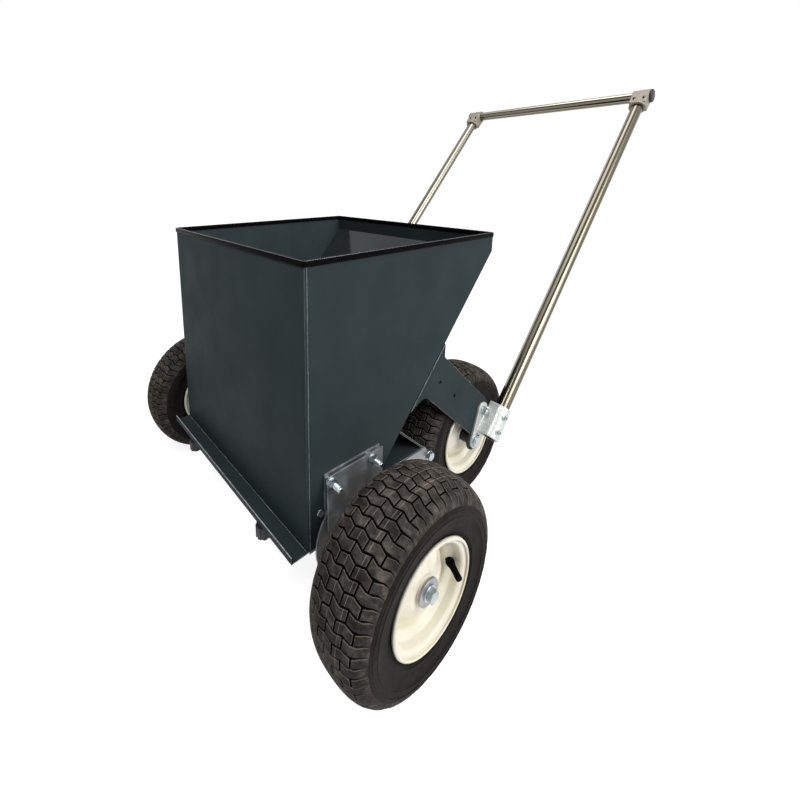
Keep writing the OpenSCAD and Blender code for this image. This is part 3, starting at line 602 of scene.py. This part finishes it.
# %% Bend the tread and spin the carcass
depth = tread.verts.layers.float.new("depth")
across = tread.verts.layers.float.new("across")
for vert in tread.verts:
    vert[depth] = -vert.co.z / BLOCK_H
    vert[across] = vert.co.x
    angle = vert.co.y / TYRE_R - TREAD_TURN
    x, radius = on_crown(vert.co.x, vert.co.z)
    vert.co = (x, radius * math.sin(angle), radius * math.cos(angle))
turn = 2 * math.pi / TREAD_PITCHES
bmesh.ops.spin(
    tread, geom=tread.verts[:] + tread.edges[:] + tread.faces[:], cent=(0, 0, 0), axis=(1, 0, 0),
    angle=turn * (TREAD_PITCHES - 1), steps=TREAD_PITCHES - 1, use_duplicate=True,
)
for face in tread.faces:
    face.material_index = 1


def floor_depth(across):
    """The grooves run out towards the shoulder."""
    return GROOVE_DEPTH * clamped((SHOULDER + 1 - across) / 20)


RING_RADII = (138, 131, 122, 98)
RING_H, RING_SPREAD = 0.9, 0.7
PANEL_R, PANEL_SPREAD, PANEL_DEPTH = 110, 10, 1.6


def ring_ridge(radius):
    """The height of the moulded rings on the sidewall at a radius, less the shallow panel between two."""
    panel = PANEL_DEPTH * math.exp(-((radius - PANEL_R) / PANEL_SPREAD) ** 4)
    return sum(RING_H * math.exp(-((radius - ring_r) / RING_SPREAD) ** 2) for ring_r in RING_RADII) - panel


def near_rings(low, high):
    """Radii from high to low, close together at the moulded rings."""
    steps = [low + 3 * step for step in range(int((high - low) / 3) + 1)]
    steps += [ring_r + 0.6 * step for ring_r in RING_RADII for step in range(-3, 4)]
    return sorted((r for r in steps if low < r < high), reverse=True)


BEAD_X = 49.3
outer = [on_crown(s, -floor_depth(s)) for s in range(0, SHOULDER + 3, 3)]
for radius in near_rings(MIDDLE_R, outer[-1][1] - 1):
    bend = math.acos(((radius - MIDDLE_R) / (TYRE_R - MIDDLE_R)) ** (1 / CROWN_POWER))
    outer.append((TYRE_W / 2 * math.sin(bend) ** CROWN_POWER + ring_ridge(radius), radius))
sidewall = []
for radius in near_rings(RIM_R + 4, MIDDLE_R):
    fall = (MIDDLE_R - radius) / (MIDDLE_R - RIM_R - 3)
    swell = BEAD_X + (TYRE_W / 2 - BEAD_X) * math.sqrt(1 - fall ** 2)
    sidewall.append((swell + ring_ridge(radius), radius))
sidewall.append((BEAD_X, RIM_R + 3))
bead = [(BEAD_X, 82.9), (44.3, 77.9), (36.3, 77.9), (36.3, 84)]
cavity = [(44, 95), (51, 127), (40, 148), (20, 154)]
half_ring = outer + sidewall + bead + cavity
profile = half_ring + [(-x, r) for x, r in reversed(half_ring) if x > 0.01]
carcass = turned(profile, 120)
shoulder_r = on_crown(SHOULDER, 0)[1]
depth = carcass.verts.layers.float.new("depth")
for vert in carcass.verts:
    radius = math.hypot(vert.co.y, vert.co.z)
    vert[depth] = clamped((radius - shoulder_r) / 6)
print("carcass faces:", len(carcass.faces), "tread faces:", len(tread.faces))

# %% [markdown]
# Both meshes are made once, and each wheel gets a copy of the two, mirrored on the right side.

# %% Fit the four tyres
tread_mesh, carcass_mesh = bpy.data.meshes.new("tread"), bpy.data.meshes.new("carcass")
tread.to_mesh(tread_mesh)
carcass.to_mesh(carcass_mesh)
tread.free()
carcass.free()
WHEELS = [
    (name + "_" + side, x, y, sign, "drive" if name == "front" else "rear_wheel_" + side)
    for name, x, y in (("front", FRONT_WHEEL_X, FRONT_AXLE_Y), ("rear", REAR_WHEEL_X, REAR_AXLE_Y))
    for side, sign in both_sides
]
for name, x, y, sign, body in WHEELS:
    ring = bmesh.new()
    ring.from_mesh(carcass_mesh)
    ring.from_mesh(tread_mesh)
    move_to(ring, x, y, TYRE_R, sign)
    node_name = name.replace("_", "_tyre_")
    tyre = finish_piece(node_name + "_tread", ring, [carcass_rubber, tread_rubber], body, [node_name], 40)
    print(tyre.name, len(tyre.data.polygons), "faces")

# %% [markdown]
# Wheels, tubes, bolts and caps are all turned shapes, and sheet parts are lines with a thickness. Two
# functions draw such outlines: one rounds the corners of a line as a press brake or a forming roll
# does, and the other gives the line the thickness of its sheet.


# %% Outlines and turned parts
def rounded(points, radius, steps=4):
    """An open line with its corners rounded."""
    line = [Vector(point) for point in points]
    soft = [line[0]]
    for before, corner, after in zip(line, line[1:], line[2:]):
        reach = min(radius, (corner - before).length * 0.48, (after - corner).length * 0.48)
        start_at = corner + (before - corner).normalized() * reach
        end_at = corner + (after - corner).normalized() * reach
        for step in range(steps + 1):
            share = step / steps
            soft.append(start_at.lerp(corner, share).lerp(corner.lerp(end_at, share), share))
    return soft + [line[-1]]


def thick(line, thickness):
    """The closed outline of a sheet that follows an open line, with rounded ends."""
    upper, lower = [], []
    for i, point in enumerate(line):
        along = (line[min(i + 1, len(line) - 1)] - line[max(i - 1, 0)]).normalized()
        out = Vector((-along.y, along.x)) * thickness / 2
        upper.append(point + out)
        lower.append(point - out)
    first = line[0] + (line[0] - line[1]).normalized() * thickness * 0.4
    last = line[-1] + (line[-1] - line[-2]).normalized() * thickness * 0.4
    return upper + [last] + lower[::-1] + [first]


def joined(shapes):
    """Several bmeshes as one."""
    whole = bmesh.new()
    for shape in shapes:
        mesh = bpy.data.meshes.new("joined")
        shape.to_mesh(mesh)
        shape.free()
        whole.from_mesh(mesh)
        bpy.data.meshes.remove(mesh)
    return whole


def moved(shape, x, y=0, z=0):
    bmesh.ops.translate(shape, vec=(x, y, z), verts=shape.verts)
    return shape


def washer(outer_r, inner_r, thickness):
    """A stamped washer from x = 0, with its edges broken."""
    edge = 0.3
    return turned([
        (0, inner_r), (0, outer_r - edge), (edge, outer_r), (thickness - edge, outer_r),
        (thickness, outer_r - edge), (thickness, inner_r),
    ], 48)


def hexagon(reach, height):
    """A hexagonal head or nut from x = 0, its outer corners turned to a chamfer."""
    steps = 48
    flat = reach * math.cos(math.pi / 6)
    shape = bmesh.new()
    rings = [[], [], []]
    for step in range(steps):
        turn = 2 * math.pi * step / steps
        off_flat = (turn + math.pi / 6) % (math.pi / 3) - math.pi / 6
        radius = flat / math.cos(off_flat)
        chamfer = (radius - flat * 0.97) * 0.58
        for ring, x, r in zip(rings, (0, height - chamfer, height), (radius, radius, flat * 0.93)):
            ring.append(shape.verts.new((x, r * math.sin(turn), r * math.cos(turn))))
    for low, high in zip(rings, rings[1:]):
        for i in range(steps):
            shape.faces.new((low[i - 1], low[i], high[i], high[i - 1]))
    shape.faces.new(rings[0][::-1])
    shape.faces.new(rings[2])
    bmesh.ops.recalc_face_normals(shape, faces=shape.faces)
    return shape


def threaded_end(radius, length, pitch=1.5):
    """The end of a bolt from x = 0, with its thread's ridges and a chamfered tip."""
    tip = 1.2
    profile = [(0, 0)]
    for step in range(int((length - tip) / pitch)):
        profile += [(step * pitch, radius * 0.88), (step * pitch + pitch * 0.5, radius)]
    profile += [(length - tip, radius * 0.92), (length, radius * 0.72), (length, 0)]
    return turned(profile, 32)


def nut_stack(diameter, tail):
    """A washer, a nut and the end of its bolt, from x = 0."""
    washer_t, nut_t = diameter * 0.2, diameter * 0.8
    return joined([
        washer(diameter * 0.95, diameter * 0.45, washer_t),
        moved(hexagon(diameter * 0.84, nut_t), washer_t),
        moved(threaded_end(diameter / 2, tail + 1), washer_t + nut_t - 1),
    ])


print("outline helpers ready")

# %% [markdown]
# The rims are two pressings welded to a tube. The barrel is rolled with a lip at each edge, a seat for
# the tyre's bead and a deep middle. The dish is pressed with five shallow ribs, which stiffen it, so
# its points are pushed in and out in a wave round the axle, strongest half way out.

# %% Rims
RIM_SHEET = 2.5
SEAT_R, WELL_R, HUB_R, HUB_LEN = RIM_R - 12.5, RIM_R - 23, 20, 82
FLANGE_X = 50.75
RIB_COUNT, RIB_DEPTH, RIB_TURN = 5, 1.7, math.radians(55)
RIB_FROM, RIB_TO = 24, 60
barrel_half = [
    (FLANGE_X + 4.6, RIM_R - 3.4), (FLANGE_X + 3.6, RIM_R - 0.6), (FLANGE_X + 0.4, RIM_R - 1.2),
    (FLANGE_X, SEAT_R + 3), (FLANGE_X - 3, SEAT_R), (FLANGE_X - 16, SEAT_R), (FLANGE_X - 24, WELL_R),
]
barrel_line = rounded(barrel_half + [(-x, r) for x, r in reversed(barrel_half)], 3)
dish_line = rounded([
    (HUB_LEN / 2 - 5, HUB_R - 0.5), (HUB_LEN / 2 - 5, HUB_R + 10), (HUB_LEN / 2 - 14, HUB_R + 32),
    (HUB_LEN / 2 - 23, WELL_R - 6), (HUB_LEN / 2 - 27, WELL_R),
], 9)
tube_line = [Vector((x, HUB_R - RIM_SHEET / 2)) for x in (-HUB_LEN / 2 + 1, 0, HUB_LEN / 2 - 1)]
for name, x, y, sign, body in WHEELS:
    dish = turned(thick(dish_line, RIM_SHEET), 150)
    for vert in dish.verts:
        radius = math.hypot(vert.co.y, vert.co.z)
        turn = math.atan2(vert.co.z, vert.co.y) - RIB_TURN
        share = clamped((radius - RIB_FROM) / (RIB_TO - RIB_FROM))
        vert.co.x += RIB_DEPTH * math.sin(math.pi * share) * math.tanh(3 * math.cos(RIB_COUNT * turn))
    barrel = turned(thick(barrel_line, RIM_SHEET), 150)
    rim_shape = joined([barrel, dish, turned(thick(tube_line, RIM_SHEET), 64)])
    move_to(rim_shape, x, y, TYRE_R, sign)
    node_name = name.replace("_", "_rim_")
    finish_piece(node_name + "_pressing", rim_shape, [enamel], body, [node_name], 40)
print("rims pressed:", len(WHEELS))

# %% [markdown]
# A snap-in valve leaves each rim: a rubber cone that thins to a stem, and a cap with a rounded end. The
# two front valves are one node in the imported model, so one piece holds both.

# %% Valves
VALVE_LEAN = math.radians(-28)
valve_line = rounded([
    (-4, 0), (-4, 5.6), (3.5, 5.6), (4, 7.5), (7, 7.4), (13, 5.7), (17, 5.4), (27, 5),
    (27.5, 5.3), (36, 5.3), (37, 3.6), (37, 0),
], 1.4)
front_valves = []
for name, x, y, sign, body in WHEELS:
    shape = turned(valve_line, 32)
    bmesh.ops.rotate(shape, matrix=Matrix.Rotation(VALVE_LEAN, 3, "Z"), verts=shape.verts)
    moved(shape, FLANGE_X - 21.5, WELL_R + 4)
    move_to(shape, x, y, TYRE_R, sign)
    if body == "drive":
        front_valves.append(shape)
    else:
        node_name = name.replace("_", "_valve_")
        finish_piece(node_name + "_moulding", shape, [edging_rubber], body, [node_name], 50)
finish_piece("front_valve_mouldings", joined(front_valves), [edging_rubber], "drive", ["front_valves"], 50)
print("valves fitted")

# %% [markdown]
# Bolts are made like the real ones: hexagons with turned chamfers, stamped washers and a thread that
# shows past the nut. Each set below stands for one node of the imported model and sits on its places.

# %% Bolts and nuts
SHEET_OUT, BRACKET_OUT, PALM_OUT = 262, 274, 270
HUB_END = FRONT_WHEEL_X + HUB_LEN / 2
BRACKET_BOLTS = ((-62, 122), (30, 122), (44, 58))
TIE_Y, TIE_Z = 309.58, 205
PALM_TOP_Y, PALM_TOP_Z = REAR_AXLE_Y + 24, TYRE_R + 69
SCREW_Y, SCREW_Z = 26, 230
BOLT_SHARP = 20


def on_both_sides(make, x, y, z):
    """A fastener along X at a place on the left side, and its mirror image on the right."""
    pair = []
    for _, sign in both_sides:
        shape = make()
        move_to(shape, x, y, z, sign)
        pair.append(shape)
    return joined(pair)


def headed(washer_r, hole_r, washer_t, reach, height):
    """A bolt's or a screw's head on its washer, from x = 0."""
    return joined([washer(washer_r, hole_r, washer_t), moved(hexagon(reach, height), washer_t)])


def axle_nut():
    """The thin nut that holds the rear axle in the clamp's palm."""
    return joined([
        washer(17, 10.05, 1.5), moved(hexagon(15, 2.6), 1.5), moved(threaded_end(9.6, 3.9, 0.8), 1),
    ])


bracket_bolts = joined([
    on_both_sides(lambda: nut_stack(10, 15), BRACKET_OUT, FRONT_AXLE_Y + y, TYRE_R + z)
    for y, z in BRACKET_BOLTS
])
hub_washers = on_both_sides(lambda: washer(22, 6.1, 4), HUB_END, FRONT_AXLE_Y, TYRE_R)
hub_bolts = on_both_sides(lambda: headed(13, 5, 2, 11, 8.5), HUB_END + 4, FRONT_AXLE_Y, TYRE_R)
tie_bolts = on_both_sides(lambda: headed(10, 4.5, 2, 9.2, 6), SHEET_OUT + 3, TIE_Y, TIE_Z)
axle_nuts = on_both_sides(axle_nut, PALM_OUT, REAR_AXLE_Y, TYRE_R)
clamp_bolts = joined([
    on_both_sides(lambda: nut_stack(10, 2), PALM_OUT, PALM_TOP_Y, PALM_TOP_Z),
    on_both_sides(lambda: hexagon(9.2, 8), SHEET_OUT - 10, PALM_TOP_Y, PALM_TOP_Z),
])
finish_piece("bracket_bolts_cut", bracket_bolts, [zinc], "frame", ["bracket_bolts"], BOLT_SHARP)
finish_piece("hub_washers_stamped", hub_washers, [washer_zinc], "drive", ["hub_washers"], BOLT_SHARP)
finish_piece("hub_bolts_cut", hub_bolts, [zinc], "drive", ["hub_bolts"], BOLT_SHARP)
finish_piece("tie_bolts_cut", tie_bolts, [zinc], "frame", ["tie_bolts"], BOLT_SHARP)
finish_piece("rear_axle_nuts_cut", axle_nuts, [zinc], "frame", ["rear_axle_nuts"], BOLT_SHARP)
finish_piece("clamp_bolts_cut", clamp_bolts, [zinc], "frame", ["clamp_bolts"], BOLT_SHARP)

panel_screws = on_both_sides(lambda: headed(6, 2, 1, 5.2, 3.6), SHEET_OUT, SCREW_Y, SCREW_Z)
side_screws = finish_piece("side_screws", panel_screws, [zinc], "frame")
print("bolts cut")

# %% [markdown]
# The handle is plain round tube. Its ends are cut square and broken with a file, which a small bevel
# gives. The black plugs in the crossbar's ends have a domed cap.

# %% Handle tubes
TUBE_WALL, FILED_EDGE = 2.6, 0.4
HANDLE_X = PALM_OUT + 22
UPRIGHT_FOOT = -39
BAR_HALF = HANDLE_X + 23
bore_r = TUBE_R - TUBE_WALL


def tube(length):
    """A tube along X from x = 0, open at both ends."""
    shape = turned([
        (0, bore_r), (0, TUBE_R - FILED_EDGE), (FILED_EDGE, TUBE_R), (length - FILED_EDGE, TUBE_R),
        (length, TUBE_R - FILED_EDGE), (length, bore_r),
    ], 64)
    wrap = shape.verts.layers.float_vector.new("wrap")
    for vert in shape.verts:
        vert[wrap] = (vert.co.y / TUBE_R, vert.co.z / TUBE_R, vert.co.x / 1000)
    return shape


for side, sign in both_sides:
    shape = tube(HANDLE_LEN - CAST_R - 1 - UPRIGHT_FOOT)
    bmesh.ops.rotate(shape, matrix=Matrix.Rotation(-math.pi / 2, 3, "Y"), verts=shape.verts)
    moved(shape, 0, 0, UPRIGHT_FOOT)
    bmesh.ops.rotate(shape, matrix=Matrix.Rotation(-HANDLE_LEAN, 3, "X"), verts=shape.verts)
    move_to(shape, HANDLE_X, CLAMP_Y, CLAMP_Z, sign)
    finish_piece("upright_%s_tube" % side, shape, [stainless], "handle", ["upright_" + side])

cap_line = rounded([
    (-12, 0), (-12, bore_r), (0, bore_r), (0.05, CAST_R - 0.5), (4.5, CAST_R - 0.5),
    (7, CAST_R - 4), (7.2, 0),
], 2)
bar = moved(tube(2 * BAR_HALF), -BAR_HALF)
move_to(bar, 0, BAR_Y, BAR_Z)
caps = on_both_sides(lambda: turned(cap_line, 48), BAR_HALF, BAR_Y, BAR_Z)
for face in caps.faces:
    face.material_index = 1
finish_piece("crossbar_tube", joined([bar, caps]), [stainless, plastic], "handle", ["crossbar"])
print("handle tubes cut")

# %% [markdown]
# A casting has no sharp edge or inner corner, since sand can't hold one. A voxel remesh of a copy of
# the solid, smoothed a little, gives such a skin, with fillets where the sleeve meets the palm. The
# skin is then kept clear of the tube that runs through it.

# %% Castings
VOXEL = 0.0009
NEAR_BORE_IN, NEAR_BORE_OUT, BORE_GAP = 0.0012, 0.0006, 0.0003
upright_dir = Vector((0, math.sin(HANDLE_LEAN), math.cos(HANDLE_LEAN)))
bar_bore = (place(0, BAR_Y, BAR_Z), Vector((1, 0, 0)), TUBE_R / 1000)


def cast(node_name, body, material, bores):
    """A copy of a packed casting with its edges softened, and its bores kept open."""
    rough = bpy.data.meshes.new("rough")
    shape = copy_of(node_name)
    shape.to_mesh(rough)
    shape.free()
    blank = bpy.data.objects.new("rough", rough)
    bpy.context.scene.collection.objects.link(blank)
    remesh = blank.modifiers.new("skin", "REMESH")
    remesh.mode, remesh.voxel_size = "VOXEL", VOXEL
    soften = blank.modifiers.new("soften", "SMOOTH")
    soften.factor, soften.iterations = 0.5, 8
    skin = bmesh.new()
    skin.from_object(blank, bpy.context.evaluated_depsgraph_get())
    bpy.data.objects.remove(blank)
    bpy.data.meshes.remove(rough)
    for vert in skin.verts:
        for point, along, radius in bores:
            offset = vert.co - point
            offset -= along * offset.dot(along)
            if radius - NEAR_BORE_IN < offset.length < radius + NEAR_BORE_OUT:
                vert.co += offset.normalized() * (radius + BORE_GAP - offset.length)
    finish_piece(node_name + "_casting", skin, [material], body, [node_name], 60)


for side, sign in both_sides:
    upright_bore = (place(sign * HANDLE_X, CLAMP_Y, CLAMP_Z), upright_dir, TUBE_R / 1000)
    cast("handle_clamp_" + side, "frame", casting, [upright_bore])
    cast("corner_fitting_" + side, "handle", dull_casting, [upright_bore, bar_bore])
print("castings skinned")

# %% [markdown]
# Rubber edging is pushed over the sheet all round the mouth. It is an upside-down U with a round back,
# drawn as a profile and swept along the mouth's outline, whose corners follow the folds.

# %% Edging
EDGING_H, EDGING_T, SHEET, SLACK = 10, 2.2, 2, 0.05
MOUTH_W, MOUTH_D, MOUTH_TOP = 524, 508, 655
# The strip of the profile that takes the painted highlight.
PAINTED_HIGHLIGHT_STRIP = 6  # from 45 to 60 degrees up the outer side of the round back
FRONT_R, BACK_R = 5, 2.5
corner_spots = (
    (1, FRONT_R, FRONT_R), (1, MOUTH_D - BACK_R, BACK_R),
    (-1, MOUTH_D - BACK_R, BACK_R), (-1, FRONT_R, FRONT_R),
)
path = []
for corner, (sign, y, radius) in enumerate(corner_spots):
    for step in range(7):
        turn = math.radians(-90 + 90 * corner + 15 * step)
        reach = radius - SHEET / 2
        path.append(Vector((
            sign * (MOUTH_W / 2 - radius) + reach * math.cos(turn),
            y + reach * math.sin(turn),
        )))
half_w = SHEET / 2 + EDGING_T
half_slot = SHEET / 2 + SLACK
bottom = MOUTH_TOP + EDGING_T - EDGING_H
back_z = MOUTH_TOP + EDGING_T - half_w
edging_profile = [(half_w - 0.3, bottom), (half_w, bottom + 0.6)]
for angle in range(0, 181, 15):
    turn = math.radians(angle)
    edging_profile.append((half_w * math.cos(turn), back_z + half_w * math.sin(turn)))
edging_profile += [
    (-half_w, bottom + 0.6), (-half_w + 0.3, bottom), (-half_slot, bottom), (-half_slot, MOUTH_TOP + SLACK),
    (half_slot, MOUTH_TOP + SLACK), (half_slot, bottom),
]
edging = bmesh.new()
rings = []
for i, point in enumerate(path):
    before = (point - path[i - 1]).normalized()
    after = (path[(i + 1) % len(path)] - point).normalized()
    mitre = Vector((before.y + after.y, -before.x - after.x)).normalized()
    mitre /= max(0.5, mitre.dot(Vector((after.y, -after.x))))
    rings.append([edging.verts.new((*(point + mitre * out), z)) for out, z in edging_profile])
for ring, following in zip(rings, rings[1:] + rings[:1]):
    for i in range(len(ring)):
        face = edging.faces.new((ring[i - 1], ring[i], following[i], following[i - 1]))
        face.material_index = int(i == PAINTED_HIGHLIGHT_STRIP)
bmesh.ops.recalc_face_normals(edging, faces=edging.faces)
move_to(edging, 0, 0, 0)
finish_piece("rim_edging_profile", edging, [edging_rubber, crest_painted_highlight], "frame", ["rim_edging"], 50)
print("edging swept round", len(path), "points")

# %% [markdown]
# Sheared and laser-cut plate has a thin bright line along its edges, where the corner is broken and
# catches the light. A copy of each plate gets a bevel of a few tenths of a millimetre for it. On
# painted sheet the narrow strips that lie between two sharp bends take a pale grey, a painted
# highlight along the edge, and the outermost line of the front folds takes a lighter grey, a painted
# highlight on the fold. The sloping wall is slick on its inside.

# %% Broken edges on sheet and plate
PAIRED_PLATES = ("side_panel", "arm", "chassis_plate", "bracket_plate", "axle_disc", "axle_bearing")
SINGLE_PLATES = ["front_panel", "rear_panel", "cross_member", "gate_rails", "bracket_spacers"]
PLATES = [name + "_" + side for name in PAIRED_PLATES for side, _ in both_sides] + SINGLE_PLATES
BROKEN_EDGE = 0.0004
LONG, NARROW = 0.02, 0.0023  # metres: a cut edge is longer than the one and narrower than the other


def is_crest(face):
    """Whether a face is the outermost line of a front fold."""
    return face.normal.y < 0 and 0 < abs(face.normal.x) - 0.707 < 0.07 and abs(face.normal.z) < 0.1


def is_cut_edge(face):
    """Whether a face is a long narrow strip between two sharp bends."""
    length = max(edge.calc_length() for edge in face.edges)
    sharp_sides = [
        edge for edge in face.edges
        if edge.calc_length() > length / 2 and edge.calc_face_angle(0) > math.radians(30)
    ]
    return length > LONG and face.calc_area() < NARROW * length and len(sharp_sides) > 1


for name in PLATES:
    shape = copy_of(name)
    round_edges(shape, BROKEN_EDGE, 1, 40)
    finish = FINISHES[slot_of[name]]
    if name.startswith(("chassis_plate", "bracket_plate", "axle_disc")):
        finish = rolled_zinc
    materials = [finish]
    if finish == powder:
        materials += [cut_edge_painted_highlight, fold_painted_highlight, slick_powder]
        # Index 2 paints a highlight on the fold's crest, index 1 paints a highlight on the cut edges.
        for face in shape.faces:
            upright = name == "front_panel" and abs(face.normal.z) < 0.1
            if upright and is_crest(face):
                face.material_index = 2
            elif is_cut_edge(face) and not (upright and abs(face.normal.x) > 0.5):
                face.material_index = 1
            elif name == "rear_panel" and face.normal.y < -0.1 and face.normal.z > -0.1:
                face.material_index = 3
    finish_piece(name + "_broken_edge", shape, materials, "frame", [name], flats=True)
print("edges broken on", len(PLATES), "plates")

# %% [markdown]
# The gate's knobs are moulded with eight hollows for the fingers and rounded all over.

# %% Knobs
for side, _ in both_sides:
    knob = "gate_knob_" + side
    shape = copy_of(knob)
    round_edges(shape, 0.0012, 3, 40)
    finish_piece(knob + "_moulding", shape, [plastic], knob, [knob], 60)
print("knobs rounded")

# %% [markdown]
# A pale floor and a plain bright surround, as a studio has. The floor and the world show white to the
# camera and to reflections, while the lamps light the machine at a plain level. Close to the machine
# the floor is a little darker, so that it holds the shadow, and further out it fades into the white.


# %% Floor, world and lamps
def seen_plainly(tree):
    """1 for a ray from the camera, from a mirror or through a clear surface, and 0 for scattered light."""
    path = add(tree, "LightPath")
    mirrored = maths(tree, "MAXIMUM", path.outputs["Is Glossy Ray"], path.outputs["Is Transmission Ray"])
    return maths(tree, "MAXIMUM", path.outputs["Is Camera Ray"], mirrored)


floor_material = bpy.data.materials.new("studio_floor_paint")
floor_material.use_nodes = True
tree = floor_material.node_tree
tree.nodes.clear()
matte = add(tree, "BsdfDiffuse", Color=grey(0.5))
bounce = add(tree, "BsdfDiffuse", Color=grey(0.6))
where = add(tree, "TexCoord").outputs["Object"]
metres_away = add(tree, "VectorMath", {"operation": "LENGTH"}, _0=where).outputs["Value"]
faded = ramp(tree, maths(tree, "MULTIPLY", metres_away, 0.1), (0.12, 0.86), (0.35, 1.0))
glow = add(tree, "Emission", Color=faded, Strength=1.0)
shown = add(tree, "AddShader", _0=matte.outputs[0], _1=glow.outputs[0])
chosen = add(tree, "MixShader", _0=seen_plainly(tree), _1=bounce.outputs[0], _2=shown.outputs[0])
add(tree, "OutputMaterial", Surface=chosen.outputs[0])
ground = bmesh.new()
bmesh.ops.create_grid(ground, x_segments=1, y_segments=1, size=20)
floor_mesh = bpy.data.meshes.new("studio_floor")
ground.to_mesh(floor_mesh)
ground.free()
floor_mesh.materials.append(floor_material)
floor = bpy.data.objects.new("studio_floor", floor_mesh)
bpy.context.scene.collection.objects.link(floor)

world = bpy.data.worlds.new("studio")
bpy.context.scene.world = world
world.use_nodes = True
tree = world.node_tree
tree.nodes.clear()
soft = add(tree, "Background", Color=grey(1.0), Strength=0.14)
white = add(tree, "Background", Color=grey(1.0), Strength=1.0)
chosen = add(tree, "MixShader", _0=seen_plainly(tree), _1=soft.outputs[0], _2=white.outputs[0])
add(tree, "OutputWorld", Surface=chosen.outputs[0])


def soft_box(name, where, target, size, power):
    """A square area lamp that faces a point."""
    data = bpy.data.lights.new(name, "AREA")
    data.shape, data.size, data.energy = "SQUARE", size, power
    lamp = bpy.data.objects.new(name, data)
    lamp.location = where
    lamp.rotation_mode = "QUATERNION"
    lamp.rotation_quaternion = (Vector(target) - Vector(where)).to_track_quat("-Z", "Y")
    bpy.context.scene.collection.objects.link(lamp)


soft_box("key", (3.0, 0.1, 2.2), (0.2, -0.1, 0.4), 2.2, 98)
soft_box("front", (0.3, -1.3, 1.6), (0, -0.6, 0.6), 0.5, 10)
soft_box("top", (0.2, 0.4, 3.2), (0, 0, 0.3), 2.4, 40)
print("stage set")
